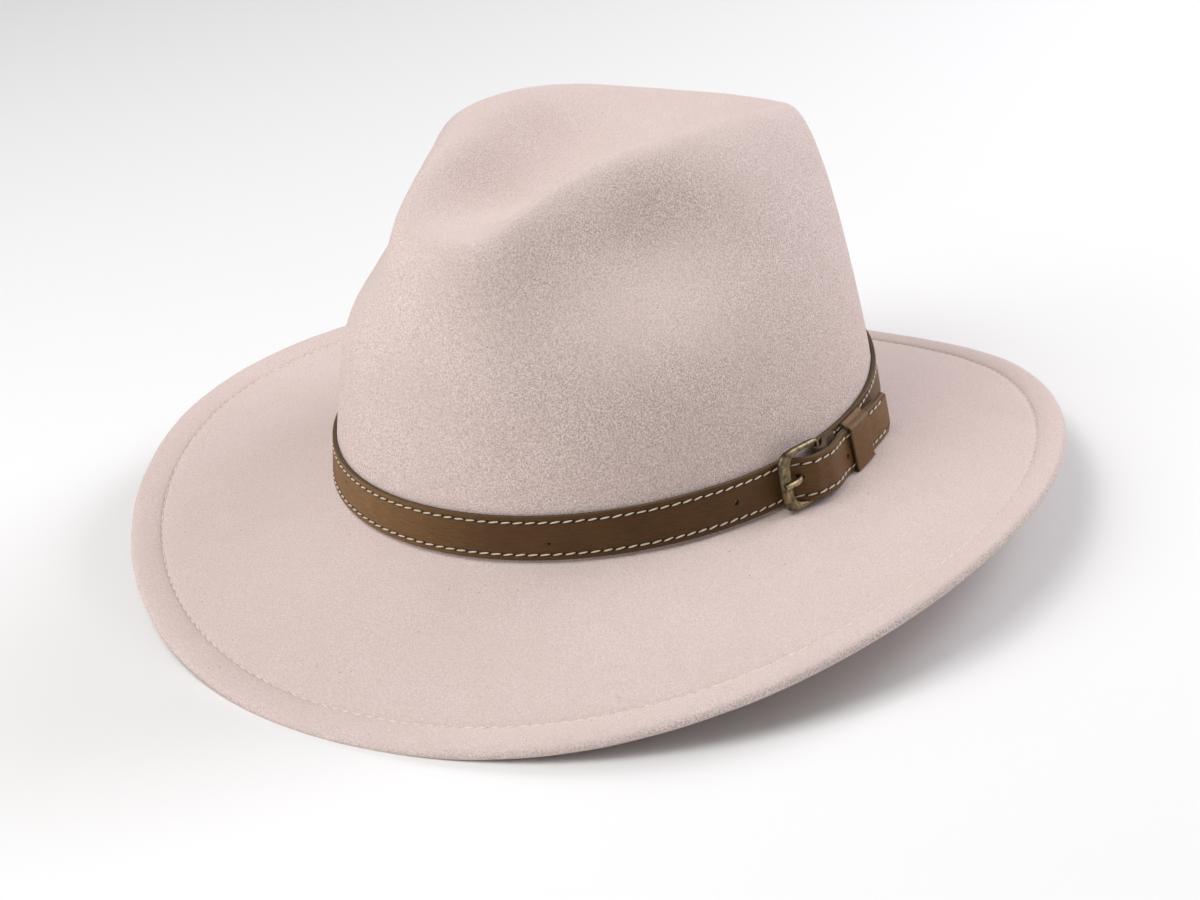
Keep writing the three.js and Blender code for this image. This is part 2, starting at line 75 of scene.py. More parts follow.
def finish_piece(bm, name, materials, sharp=50, outward=True):
    """Turns a bmesh in millimetres into a finished piece in metres."""
    if outward:
        bmesh.ops.recalc_face_normals(bm, faces=bm.faces)
    bmesh.ops.scale(bm, vec=(MM, MM, MM), verts=bm.verts)
    mesh = bpy.data.meshes.new(name)
    bm.to_mesh(mesh)
    bm.free()
    for material in materials:
        mesh.materials.append(material)
    mesh.shade_smooth()
    mesh.set_sharp_from_angle(angle=math.radians(sharp))
    piece = bpy.data.objects.new(name, mesh)
    bpy.context.scene.collection.objects.link(piece)
    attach(piece, "root")
    print(name, len(mesh.vertices), "vertices", len(mesh.polygons), "faces")
    return piece


# %% [markdown]
# ## Camera
# The photograph looks down at the hat's front left corner, from about 26 degrees above the
# floor, through a long lens and slightly tilted. The numbers come from fitting the hat's
# outline. Azimuth 0 would look along +Y, straight at the front.

# %% Camera
AZIMUTH = math.radians(33.535)
ELEVATION = math.radians(25.55)
ROLL = math.radians(-5.116)
DISTANCE = 827.911
ASIDE = 4.359
ABOVE = 9.991
AIM = Vector((0, 4.9, 29.3))
FOCAL_PIXELS = 2471.434
SENSOR = 36.0
PHOTO_WIDTH = 1200

back = Vector((
    math.sin(AZIMUTH) * math.cos(ELEVATION),
    -math.cos(AZIMUTH) * math.cos(ELEVATION),
    math.sin(ELEVATION),
))
right = Vector((math.cos(AZIMUTH), math.sin(AZIMUTH), 0))
upward = back.cross(right)
eye = (back * DISTANCE - right * ASIDE - upward * ABOVE + AIM) * MM
rolled_right = right * math.cos(ROLL) + upward * math.sin(ROLL)
rolled_up = upward * math.cos(ROLL) - right * math.sin(ROLL)
camera = bpy.data.objects.new("camera", bpy.data.cameras.new("camera"))
camera.data.sensor_width = SENSOR
camera.data.lens = FOCAL_PIXELS * SENSOR / PHOTO_WIDTH
camera.data.clip_start = 0.01
turned = Matrix((rolled_right, rolled_up, back)).transposed()
camera.matrix_world = Matrix.Translation(eye) @ turned.to_4x4()
bpy.context.scene.collection.objects.link(camera)
bpy.context.scene.camera = camera
print("lens", round(camera.data.lens, 2), "mm at", [round(c, 3) for c in eye])

# %% [markdown]
# ## Light and floor
# The photograph was lit in a white studio. Its shading fits a broad light from the
# picture's left, made of three lamps here, one lamp behind on its right that wraps round
# the crown, and a white room that fills the rest. Area lamps give soft shadows. The floor
# is a plain pale sheet.

# %% Light
LIGHTS = [  # name, colour, degrees from the front toward the hat's left, degrees up, watts
    ("light_high", (1.0, 0.99, 0.97), -20, 60, 8.7),
    ("light_side", (1.0, 0.99, 1.0), -60, 60, 2.1),
    ("light_low", (1.0, 0.98, 0.98), -30, 30, 4.6),
    ("light_behind", (1.0, 0.985, 1.03), 150, 30, 11.8),
]
LOOK_AT = Vector((0, 0, 0.06))
LIGHT_REACH = 1.4
LIGHT_SIZE = 0.7
ROOM_LIGHT = 0.35
for name, color, azimuth, elevation, watts in LIGHTS:
    lamp = bpy.data.lights.new(name, "AREA")
    lamp.size = LIGHT_SIZE
    lamp.energy = watts
    lamp.color = color
    holder = bpy.data.objects.new(name, lamp)
    azimuth, elevation = math.radians(azimuth), math.radians(elevation)
    away = Vector((
        math.sin(azimuth) * math.cos(elevation),
        -math.cos(azimuth) * math.cos(elevation),
        math.sin(elevation),
    ))
    holder.location = LOOK_AT + away * LIGHT_REACH
    holder.rotation_euler = (-away).to_track_quat("-Z", "Y").to_euler()
    bpy.context.scene.collection.objects.link(holder)

world = bpy.data.worlds.new("studio")
world.use_nodes = True
room = world.node_tree.nodes["Background"]
room.inputs["Color"].default_value = (1, 1, 1, 1)
room.inputs["Strength"].default_value = ROOM_LIGHT
bpy.context.scene.world = world
bpy.context.scene.view_settings.view_transform = "Standard"

# %% Floor
FLOOR_HALF = 3000.0
FLOOR_WHITE = 0.86
bm = bmesh.new()
bmesh.ops.create_grid(bm, x_segments=1, y_segments=1, size=FLOOR_HALF * MM)
floor_mesh = bpy.data.meshes.new("floor")
bm.to_mesh(floor_mesh)
bm.free()
floor = bpy.data.objects.new("floor", floor_mesh)
floor_paint = bpy.data.materials.new("floor_paint")
floor_paint.use_nodes = True
paint_shader = floor_paint.node_tree.nodes["Principled BSDF"]
paint_shader.inputs["Base Color"].default_value = (FLOOR_WHITE, FLOOR_WHITE, FLOOR_WHITE, 1)
paint_shader.inputs["Roughness"].default_value = 0.9
floor_mesh.materials.append(floor_paint)
bpy.context.scene.collection.objects.link(floor)

# %% [markdown]
# ## The form of the felt
# A felt hat starts as one cone of felt. It is steamed over a block, which gives the crown
# its teardrop crease and its pinches and spreads the brim. Nothing is sewn but the edge.
# So the felt here is one form too: a profile that runs from the middle of the crease over
# the ridge, down the wall, round the foot and out along the brim. The tables give that
# profile at some angles round the head, and a smooth curve joins them.

# %% Tables of the crown
HEAD_HALF_LENGTH = 101.3
HEAD_HALF_WIDTH = 85.7
ROOT_HEIGHT = 28.0
ROOT_PITCH = 0.67
ROOT_SADDLE = 0.65
ROOT_FILLET = 1.1
EDGE_HEIGHT = 29.3
FELT = 2.0
WELT_RISE = 1.8
CREASE_FLOOR = 82.9
RIDGE = np.array([  # degrees from the front, radius, height above EDGE_HEIGHT
    (0, 83.1, 94.3), (8, 80.0, 95.5), (14, 73.2, 99.1), (22, 59.9, 103.4), (34, 47.2, 106.6),
    (52, 40.8, 107.3), (75, 39.8, 107.1), (98, 41.1, 105.9), (118, 46.4, 103.6),
    (135, 58.0, 99.5), (150, 71.7, 93.8), (162, 81.8, 88.7), (180, 88.5, 85.6),
])
WALL = np.array([  # degrees from the front, shoulder, wall, lean, dip, flat
    (0, 5.2, 87.0, 3.5, 0.35, 0.45), (30, 14.8, 65.1, 4.0, 0.37, 0.66),
    (60, 15.6, 51.6, 7.1, 0.43, 0.63), (90, 10.0, 74.6, 7.8, 0.45, 0.59),
    (135, 17.6, 51.2, 5.4, 0.35, 0.59), (180, 14.0, 53.0, 7.1, 0.45, 0.53),
])
PRESS_STARTS = 0.22
PRESSED = [  # degrees, height, spread, tall, depth of a form pressed into both sides
    (46.4, 80.5, 27.5, 19.8, 16.5),
    (41.1, 73.4, 33.4, 28.4, -6.3),
]
# The brim's tables are waves round the head: a mean, then once, twice, three times round.
BRIM_WIDTH = [63.9, 3.4, -3.0, -1.4, -0.9]
BRIM_DROP = [-15.4, -1.2, -12.5, 0.2, -0.9, 1.0]
BRIM_SHIFT = -2.9
BRIM_START_SLOPE = [-0.45, 0.12, -0.12]
BRIM_END_SLOPE = [-0.18, -0.14, -0.17, -0.04]
CENTRE_Y = BRIM_WIDTH[1] + BRIM_WIDTH[3] - BRIM_SHIFT


# %% Smooth curves through the tables
def hermite(a, slope_a, b, slope_b, t):
    ends = a * (2 * t**3 - 3 * t**2 + 1) + b * (3 * t**2 - 2 * t**3)
    return ends + slope_a * (t**3 - 2 * t**2 + t) + slope_b * (t**3 - t**2)


def bezier(a, b, c, d, t):
    m = 1 - t
    return m**3 * a + 3 * m * m * t * b + 3 * m * t * t * c + t**3 * d


def level_curve(xs, ys):
    """A cubic spline through the values that is level at both ends."""
    n = len(xs)
    steps = np.diff(xs)
    rises = np.diff(ys)
    system = np.eye(n)
    known = np.zeros(n)
    for i in range(1, n - 1):
        system[i, i - 1] = 1 / steps[i - 1]
        system[i, i] = 2 / steps[i - 1] + 2 / steps[i]
        system[i, i + 1] = 1 / steps[i]
        known[i] = 3 * rises[i - 1] / steps[i - 1] ** 2 + 3 * rises[i] / steps[i] ** 2
    slopes = np.linalg.solve(system, known)

    def curve(x):
        i = np.clip(np.searchsorted(xs, x, side="right") - 1, 0, n - 2)
        t = (x - xs[i]) / steps[i]
        return hermite(ys[i], slopes[i] * steps[i], ys[i + 1], slopes[i + 1] * steps[i], t)

    return curve


ridge_radius = level_curve(RIDGE[:, 0], RIDGE[:, 1])
ridge_height = level_curve(RIDGE[:, 0], RIDGE[:, 2])
shoulder, wall, lean_degrees, dip, flat = (
    level_curve(WALL[:, 0], WALL[:, column]) for column in range(1, 6)
)


def from_front(angle):
    turn = np.abs(np.degrees(angle)) % 360
    return np.where(turn > 180, 360 - turn, turn)


def series(terms, angle):
    return sum(term * np.cos(i * angle) for i, term in enumerate(terms))


def smooth(t):
    t = np.clip(t, 0, 1)
    return t * t * (3 - 2 * t)


def head_radius(angle):
    return 1 / np.hypot(np.sin(angle) / HEAD_HALF_WIDTH, np.cos(angle) / HEAD_HALF_LENGTH)


def root_height(angle):
    return ROOT_HEIGHT + ROOT_PITCH * np.cos(angle) + ROOT_SADDLE * np.cos(2 * angle)


# %% The outer face of the felt
def felt_face(angle, run):
    """Run 0 to 1 is the crease, 1 to 2 the wall, 2 to 3 the turn at its foot, 3 to 4 the brim."""
    side = from_front(angle)
    ridge = ridge_radius(side)
    top = EDGE_HEIGHT + ridge_height(side)
    foot = head_radius(angle)
    base = root_height(angle)
    lean = np.radians(lean_degrees(side))
    low = EDGE_HEIGHT + CREASE_FLOOR
    crease_t = np.clip(run, 0, 1)
    crease_r = bezier(0, ridge * flat(side), ridge * (1 - dip(side)), ridge, crease_t)
    crease_z = bezier(low, low, top, top, crease_t)
    wall_t = np.clip(run - 1, 0, 1)
    tall = wall(side)
    wall_foot = foot - ROOT_FILLET * np.sin(lean)
    wall_base = base + ROOT_FILLET * np.cos(lean)
    wall_z = bezier(top, top, wall_base + np.cos(lean) * tall, wall_base, wall_t)
    wall_r = bezier(ridge, ridge + shoulder(side), wall_foot - np.sin(lean) * tall, wall_foot, wall_t)
    for degrees, height, spread, form_tall, depth in PRESSED:
        aside = (side - degrees) / spread
        above = (wall_z - EDGE_HEIGHT - height) / form_tall
        wall_r = wall_r - depth * np.exp(-aside**2 - above**2) * smooth(wall_t / PRESS_STARTS)
    start_slope = series(BRIM_START_SLOPE, angle)
    brim_foot = foot + ROOT_FILLET
    brim_base = base + start_slope * ROOT_FILLET
    turn_t = np.clip(run - 2, 0, 1)
    turn_m = 1 - turn_t
    turn_r = turn_m**2 * wall_foot + 2 * turn_m * turn_t * foot + turn_t**2 * brim_foot
    turn_z = turn_m**2 * wall_base + 2 * turn_m * turn_t * base + turn_t**2 * brim_base
    brim_t = run - 3
    width = series(BRIM_WIDTH, angle) - (FELT + WELT_RISE) / 2
    edge_z = EDGE_HEIGHT + series(BRIM_DROP, angle)
    end_slope = series(BRIM_END_SLOPE, angle) * width
    brim_r = brim_foot + (foot + width - brim_foot) * brim_t
    brim_z = hermite(brim_base, start_slope * width, edge_z, end_slope, brim_t)
    part = [run <= 1, run <= 2, run <= 3]
    r = np.select(part, [crease_r, wall_r, turn_r], brim_r)
    z = np.select(part, [crease_z, wall_z, turn_z], brim_z)
    shift = np.where(run > 3, BRIM_SHIFT * brim_t, 0)
    return np.stack([r * np.sin(angle), -r * np.cos(angle) + shift, z], -1)


def felt_point(angle, run, depth, beyond):
    """A place off the felt's face: depth goes into the felt, beyond goes on past it."""
    step = 0.002
    low = np.maximum(run - step, 0.02)
    high = np.clip(run + step, 0.04, 4)
    level = np.maximum(run, 0.02)
    onward = felt_face(angle, high) - felt_face(angle, low)
    sideways = felt_face(angle + step, level) - felt_face(angle - step, level)
    onward /= np.linalg.norm(onward, axis=1)[:, None]
    normal = np.cross(onward, sideways)
    normal /= np.linalg.norm(normal, axis=1)[:, None]
    normal[run < 0.02] = (0, 0, 1)
    place = felt_face(angle, run) - normal * depth[:, None] + onward * beyond[:, None]
    place[:, 1] += CENTRE_Y
    place[:, 2] = np.maximum(place[:, 2], 0)
    return place


# %% [markdown]
# ## The felt shell
# A profile can be spun into a body, as a potter or a lathe does it. Here a plain upright
# line of vertices, one for each ring, is spun into a tube. Then every ring is blocked to
# its place in the felt, as the wool is pressed over a block. The inner rings follow the
# same form 2 mm deeper, so the shell has a real wall. At the edge of the brim the felt is
# folded over on top and sewn down: the last rings rise at the seam and go round the fold.

# %% Rings of the profile
SEAM = 3.875
SEAM_PROFILE = [  # mm past the seam, depth in mm: a soft pressed groove, then the folded edge
    (-2.5, 0.0), (-1.5, 0.06), (-0.8, 0.16), (-0.3, 0.32), (0.0, 0.42), (0.15, 0.22),
    (0.35, -0.12), (0.7, -0.34), (1.4, -0.66), (2.5, -1.02), (4.0, -1.4), (5.5, -1.66),
]
RUN_PER_MM = 1 / 62.0
rings = []
for first, last, count in ((0, 1, 22), (1.02, 2, 46), (2.25, 3, 4), (3.02, 3.82, 30)):
    rings += [(run, 0.0, 0.0) for run in np.linspace(first, last, count)]
rings += [(SEAM + past * RUN_PER_MM, depth, 0.0) for past, depth in SEAM_PROFILE]
rings += [(run, -WELT_RISE, 0.0) for run in (3.98, 4.0)]
EDGE_ROUND = (FELT + WELT_RISE) / 2
for turn in np.radians(np.arange(15, 180, 15)):
    middle = (FELT - WELT_RISE) / 2
    rings.append((4.0, middle - EDGE_ROUND * math.cos(turn), EDGE_ROUND * math.sin(turn)))
for first, last, count in ((4, 3.02, 34), (3, 2.25, 4), (2, 1.02, 44), (1, 0, 20)):
    rings += [(run, FELT, 0.0) for run in np.linspace(first, last, count)]
rings = np.array(rings)
print(len(rings), "rings")

# %% Spin the tube and block it
FELT_STEPS = 320
bm = bmesh.new()
line = [bm.verts.new((0, -1, level)) for level in range(len(rings))]
for lower, upper in zip(line, line[1:]):
    bm.edges.new((lower, upper))
bmesh.ops.spin(
    bm, geom=bm.verts[:] + bm.edges[:], cent=(0, 0, 0), axis=(0, 0, 1),
    angle=2 * math.pi, steps=FELT_STEPS, use_merge=True,
)
tube = corners(bm)
angles = np.arctan2(tube[:, 0], -tube[:, 1])
ring_of = np.rint(tube[:, 2]).astype(int)
run_of, depth_of, beyond_of = rings[ring_of].T
place_all(bm, felt_point(angles, run_of, depth_of, beyond_of))
bmesh.ops.remove_doubles(bm, verts=bm.verts, dist=1e-4)
print("felt is closed:", all(len(edge.link_faces) == 2 for edge in bm.edges))

# %% [markdown]
# Wool felt is never quite even. Steam and hands leave shallow waves, so each vertex goes
# a tenth of a millimetre or so in or out. The waves are far too low to change the form,
# but the light finds them. An attribute also marks how much the light grazes the felt:
# most on the steep sides of the crown that face sideways, least on the brim and the front.
# The material paints a strong speckle of light and shade there, as painted shading of the nap.

# %% Shallow waves of worked felt and where the light grazes it
WAVE_MM = 0.16
# How strongly the light grazes each face, for the painted speckle of light and shade: most on upright
# faces turned sideways.
GRAZING_LEAST, GRAZING_UPRIGHT, GRAZING_ASIDE = 0.1, 0.4, 0.9
bm.normal_update()
grazing_speckle_layer = bm.verts.layers.float.new("grazing_speckle")
for vert in bm.verts:
    broad = noise.noise(vert.co / 17)
    fine = noise.noise(vert.co / 6 + Vector((31, 7, 3)))
    if vert.co.z > 0.5:
        vert.co += vert.normal * WAVE_MM * (broad + 0.5 * fine)
    upright = 1 - abs(vert.normal.z)
    aside = abs(vert.normal.x)
    vert[grazing_speckle_layer] = min(1.0, GRAZING_LEAST + GRAZING_UPRIGHT * upright + GRAZING_ASIDE * upright * aside)


# %% [markdown]
# ## The look of felt
# Felt is matted wool: matt, slightly hairy and mottled, since every fibre takes the dye a
# little differently. Fine noise mixes the wool's two shades; where the light grazes, it mixes
# a much darker and a much lighter shade instead, as painted shade and light of the nap. A
# broad noise clouds them, and bump gives the nap. A few dark flecks are hairs of another
# wool. Sheen lights the fine hairs that stand off a surface seen from the side.

# %% Small tools for materials
def new_material(name, color, roughness, metallic=0.0):
    material = bpy.data.materials.new(name)
    material.use_nodes = True
    shader = material.node_tree.nodes["Principled BSDF"]
    shader.inputs["Base Color"].default_value = (*color, 1)
    shader.inputs["Roughness"].default_value = roughness
    shader.inputs["Metallic"].default_value = metallic
    return material, shader


def add_node(material, kind, inputs=None, **settings):
    """A node with its settings, and each input given as a value or as a socket to join."""
    made = material.node_tree.nodes.new(kind)
    for key, value in settings.items():
        setattr(made, key, value)
    for key, value in (inputs or {}).items():
        if isinstance(value, bpy.types.NodeSocket):
            material.node_tree.links.new(value, made.inputs[key])
        else:
            made.inputs[key].default_value = value
    return made


def object_places(material):
    return add_node(material, "ShaderNodeTexCoord").outputs["Object"]


def noise_at(material, vector, scale, detail=3.0, rough=0.5):
    inputs = {"Vector": vector, "Scale": scale, "Detail": detail, "Roughness": rough}
    return add_node(material, "ShaderNodeTexNoise", inputs).outputs["Fac"]


def remap(material, value, low, high, to_low=0.0, to_high=1.0):
    inputs = {"Value": value, "From Min": low, "From Max": high, "To Min": to_low, "To Max": to_high}
    return add_node(material, "ShaderNodeMapRange", inputs, clamp=True).outputs["Result"]


def shade_mix(material, share, first, second, blend="MIX"):
    """Mixes two colours, each given as numbers or as a socket."""
    mix = add_node(material, "ShaderNodeMix", data_type="RGBA", blend_type=blend)
    for socket, value in ((mix.inputs[0], share), (mix.inputs[6], first), (mix.inputs[7], second)):
        if isinstance(value, bpy.types.NodeSocket):
            material.node_tree.links.new(value, socket)
        else:
            socket.default_value = value if isinstance(value, float) else (*value, 1)
    return mix.outputs[2]


def calculate(material, operation, first, second=0.5, third=0.5):
    inputs = {0: first, 1: second, 2: third}
    return add_node(material, "ShaderNodeMath", inputs, operation=operation).outputs[0]


def join(material, socket, shader, name):
    material.node_tree.links.new(socket, shader.inputs[name])


# %% Felt
felt, shader = new_material("pale_wool_felt", (0.65, 0.53, 0.495), 0.95)
shader.inputs["Specular IOR Level"].default_value = 0.15
shader.inputs["Sheen Weight"].default_value = 0.12
shader.inputs["Sheen Roughness"].default_value = 0.5
shader.inputs["Sheen Tint"].default_value = (1.0, 0.95, 0.92, 1)
where = object_places(felt)
nap = noise_at(felt, where, 2100.0, 3.0, 0.65)
clouds = noise_at(felt, where, 45.0, 3.0, 0.6)
flecks = add_node(felt, "ShaderNodeTexVoronoi", {"Vector": where, "Scale": 165.0})
grazing_speckle = add_node(felt, "ShaderNodeAttribute", attribute_name="grazing_speckle").outputs["Fac"]
# Painted light and shade of the nap: a calm grain where the light falls squarely, a strong dark and
# light speckle where it grazes.
pressed_or_squarely_lit = shade_mix(felt, remap(felt, nap, 0.35, 0.65), (0.63, 0.51, 0.476), (0.77, 0.642, 0.61))
grazing_lit_speckle = shade_mix(felt, remap(felt, nap, 0.38, 0.62), (0.45, 0.353, 0.32), (0.96, 0.81, 0.77))
wool = shade_mix(felt, grazing_speckle, pressed_or_squarely_lit, grazing_lit_speckle)
wool = shade_mix(felt, remap(felt, clouds, 0.35, 0.65, 0.0, 0.3), wool, (0.67, 0.535, 0.495))
fleck = remap(felt, flecks.outputs["Distance"], 0.03, 0.05, 0.7, 0.0)
wool = shade_mix(felt, fleck, wool, (0.2, 0.14, 0.1))
join(felt, wool, shader, "Base Color")
hairs = add_node(felt, "ShaderNodeBump", {"Height": nap, "Strength": 0.6, "Distance": 0.0006})
join(felt, hairs.outputs["Normal"], shader, "Normal")
felt_shell = finish_piece(bm, "felt_shell", [felt], sharp=80)
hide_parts("felt_body")

# %% [markdown]
# ## The way of the strap
# The strap is easiest to make flat, as a saddler does: cut it, punch it, sew it, and only
# then bend it round the crown. So its line is worked out first. "Along" runs round the foot
# of the crown from the front centre toward the hat's left, "out" stands off the felt and
# "up" follows its wall. The line starts in the fold round the buckle's heel bar, goes once
# round the hat, climbs through the buckle and lies down on itself under the keeper.

# %% The crown's foot as a ruler
BELT_BOTTOM = 0.9
BELT_WIDTH = 14.1
FREE_WIDTH = 13.9
LEATHER = 1.4
LAID = 0.2 + LEATHER / 2
LAYER_GAP = 0.12
LAYER = LEATHER + LAYER_GAP
HEEL_AT = 131.0
HEEL_OUT = 3.9
HEEL_RADIUS = 0.8
FELT_ROUND = 588.5
TIP_AT = 182.0
UNDER_KEEPER = 3.7

ruler_angles = np.linspace(0, 2 * math.pi, 2881)
ruler_x = head_radius(ruler_angles) * np.sin(ruler_angles)
ruler_y = -head_radius(ruler_angles) * np.cos(ruler_angles)
ruler = np.concatenate([[0], np.cumsum(np.hypot(np.diff(ruler_x), np.diff(ruler_y)))])

# %% How far the wall leans back over the belt's width
LEAN_STEPS = 361
lean_angles = np.linspace(0, 2 * math.pi, LEAN_STEPS)
above, below = np.full(LEAN_STEPS, 1.4), np.full(LEAN_STEPS, 2.0)
for halving in range(20):
    tried = (above + below) / 2
    high = felt_face(lean_angles, tried)[:, 2] > root_height(lean_angles) + BELT_WIDTH
    above, below = np.where(high, tried, above), np.where(high, below, tried)
behind = felt_face(lean_angles, above)[:, :2]
wall_lean = (head_radius(lean_angles) - np.linalg.norm(behind, axis=1)) / BELT_WIDTH


def on_foot(along, out, up):
    """Places for lengths along the foot, distances out from the felt and heights up its wall."""
    angle = np.interp(np.mod(along, ruler[-1]), ruler, ruler_angles)
    radius = head_radius(angle)
    x = radius * np.sin(angle)
    y = -radius * np.cos(angle)
    away = np.stack([x / HEAD_HALF_WIDTH**2, y / HEAD_HALF_LENGTH**2], -1)
    away /= np.linalg.norm(away, axis=-1)[..., None]
    reach = (out - up * np.interp(angle, lean_angles, wall_lean))[..., None]
    flat_place = np.stack([x, y + CENTRE_Y], -1) + away * reach
    return np.concatenate([flat_place, (root_height(angle) + up)[..., None]], -1)


print("round the foot of the crown:", round(ruler[-1], 1), "mm")


# %% The strap's line
def stepped(steps, along, start):
    out = np.full_like(along, start)
    for first, last, rise in steps:
        out += rise * smooth((along - HEEL_AT - first) / (last - first))
    return out


FOLD_RADIUS = HEEL_RADIUS + LAYER_GAP + LEATHER / 2
FOLD_OUT = HEEL_OUT + FOLD_RADIUS
HIGH = FOLD_OUT + LAYER
FOLD_END_AT = 142
BASE_END_AT = 170
CLIMB_BEFORE = 30
TIP_OUT = 5.0
# Steps of the strap away from the felt: from and to in mm past the heel bar, and the rise.
BASE_STEPS = [(0, 6, LAID - HEEL_OUT + FOLD_RADIUS)]
FREE_STEPS = [(-16, -5, HIGH - LAID), (0, 15, UNDER_KEEPER - HIGH), (30, 52, TIP_OUT - UNDER_KEEPER)]
hidden = np.arange(FOLD_END_AT, HEEL_AT, -0.25)
hidden_out = FOLD_OUT - smooth((hidden - HEEL_AT) / 7) * (FOLD_OUT - LAID - LAYER)
bend = np.radians(np.arange(90, 270, 6))
base = np.arange(HEEL_AT, BASE_END_AT, 0.25)
ends = FELT_ROUND + HEEL_AT - CLIMB_BEFORE
round_hat = np.arange(BASE_END_AT, ends, 0.5)
free = np.arange(HEEL_AT - CLIMB_BEFORE, TIP_AT + 0.6, 0.25)
line_along = np.concatenate([
    hidden, HEEL_AT + FOLD_RADIUS * np.cos(bend), base, round_hat, free + FELT_ROUND,
])
line_out = np.concatenate([
    hidden_out, HEEL_OUT + FOLD_RADIUS * np.sin(bend),
    stepped(BASE_STEPS, base, HEEL_OUT - FOLD_RADIUS), np.full_like(round_hat, LAID),
    stepped(FREE_STEPS, free, LAID),
])
line_s = np.concatenate([[0], np.cumsum(np.hypot(np.diff(line_along), np.diff(line_out)))])


def strap_s(along):
    """Length from the strap's hidden end to a place on the base run or the free end."""
    whole = np.searchsorted(line_along[len(hidden) + len(bend):], along)
    return line_s[min(len(hidden) + len(bend) + whole, len(line_s) - 1)]


STRAP_LENGTH = strap_s(TIP_AT + FELT_ROUND)
NARROWS_AT = strap_s(ends)
print("strap length", round(STRAP_LENGTH, 1), "mm")


# %% Bending flat work round the hat
DROOPS = [(122, 30, 1.9), (154, 28, 0.6)]  # start along the foot, length, fall in mm
DROOP_FROM_OUT, DROOP_OVER_OUT = 1.7, 2.0


def droop(along, out):
    """The free end sinks toward the brim past the buckle, more the further it stands off."""
    past = along - FELT_ROUND
    fall = sum(deep * smooth((past - start) / length) for start, length, deep in DROOPS)
    return fall * np.clip((out - DROOP_FROM_OUT) / DROOP_OVER_OUT, 0, 1)


def strap_width(s):
    return BELT_WIDTH + (FREE_WIDTH - BELT_WIDTH) * smooth((s - NARROWS_AT + 20) / 20)


def bend_strap(flat_places):
    """Flat places are length from the hidden end, height across and thickness, in mm."""
    s, across, thick = np.asarray(flat_places, float).T
    along = np.interp(s, line_s, line_along)
    out = np.interp(s, line_s, line_out)
    ahead = np.interp(s + 0.4, line_s, line_along) - np.interp(s - 0.4, line_s, line_along)
    rise = np.interp(s + 0.4, line_s, line_out) - np.interp(s - 0.4, line_s, line_out)
    size = np.hypot(ahead, rise)
    share = across / BELT_WIDTH
    up = BELT_BOTTOM + share * strap_width(s)
    along = along - rise / size * thick
    out = out + ahead / size * thick
    return on_foot(along, out, up - droop(along, out))


# %% [markdown]
# ## Cutting and punching the strap
# The strip is a fine grid, one millimetre long by rows that lie closer near its edges. Two
# cuts with a plane give the tip, the sheet gets its thickness, and a small bevel breaks the
# cut edges. Punches go through where the strap has its holes: the prong's, one on each
# side of it, two small tack marks on the band, and a slot in the fold for the prong's root.

# %% Flat strip
ROWS = np.array([0, 0.45, 1.05, 1.45, 1.85, 2.25, 2.9, 4.5, 6.0, 7.05])
ROWS = np.concatenate([ROWS, BELT_WIDTH - ROWS[-2::-1]])
STITCH_IN = 1.85
STEPS_ALONG = int(STRAP_LENGTH)
bm = bmesh.new()
bmesh.ops.create_grid(bm, x_segments=STEPS_ALONG, y_segments=len(ROWS) - 1, size=1)
for vert in bm.verts:
    row = int(round((vert.co.y + 1) / 2 * (len(ROWS) - 1)))
    vert.co = ((vert.co.x + 1) / 2 * STRAP_LENGTH, ROWS[row], 0)
TIP_CUTS = (((-3.2, BELT_WIDTH), (0, 12.0)), ((-3.2, 0), (0, 1.8)))
for start, end in TIP_CUTS:
    first = Vector((STRAP_LENGTH + start[0], start[1], 0))
    last = Vector((STRAP_LENGTH + end[0], end[1], 0))
    edge = last - first
    away = Vector((-edge.y, edge.x, 0)) if start[1] > 0 else Vector((edge.y, -edge.x, 0))
    whole = bm.verts[:] + bm.edges[:] + bm.faces[:]
    bmesh.ops.bisect_plane(bm, geom=whole, plane_co=first, plane_no=away, clear_outer=True)
print("flat strip", len(bm.faces), "cells")

# %% Thickness and broken edges
bmesh.ops.translate(bm, vec=(0, 0, LEATHER / 2), verts=bm.verts)
bmesh.ops.recalc_face_normals(bm, faces=bm.faces)
if bm.faces[:][0].normal.z < 0:
    bmesh.ops.reverse_faces(bm, faces=bm.faces)
bmesh.ops.solidify(bm, geom=bm.faces[:], thickness=LEATHER)
low = min(v.co.z for v in bm.verts)
bmesh.ops.translate(bm, vec=(0, 0, -LEATHER / 2 - low), verts=bm.verts)
bmesh.ops.recalc_face_normals(bm, faces=bm.faces)
bm.normal_update()


def break_edges(bm, offset):
    """A small bevel along every sharp edge of leather that was just cut."""
    arris = [e for e in bm.edges if len(e.link_faces) == 2 and e.calc_face_angle(0) > 1.0]
    bmesh.ops.bevel(bm, geom=arris, offset=offset, affect="EDGES", segments=2, profile=0.5, material=-1)
    bm.normal_update()


break_edges(bm, 0.22)
for face in bm.faces:
    face.material_index = 0 if face.normal.z > 0.5 else 1
print("strap", len(bm.faces), "faces")

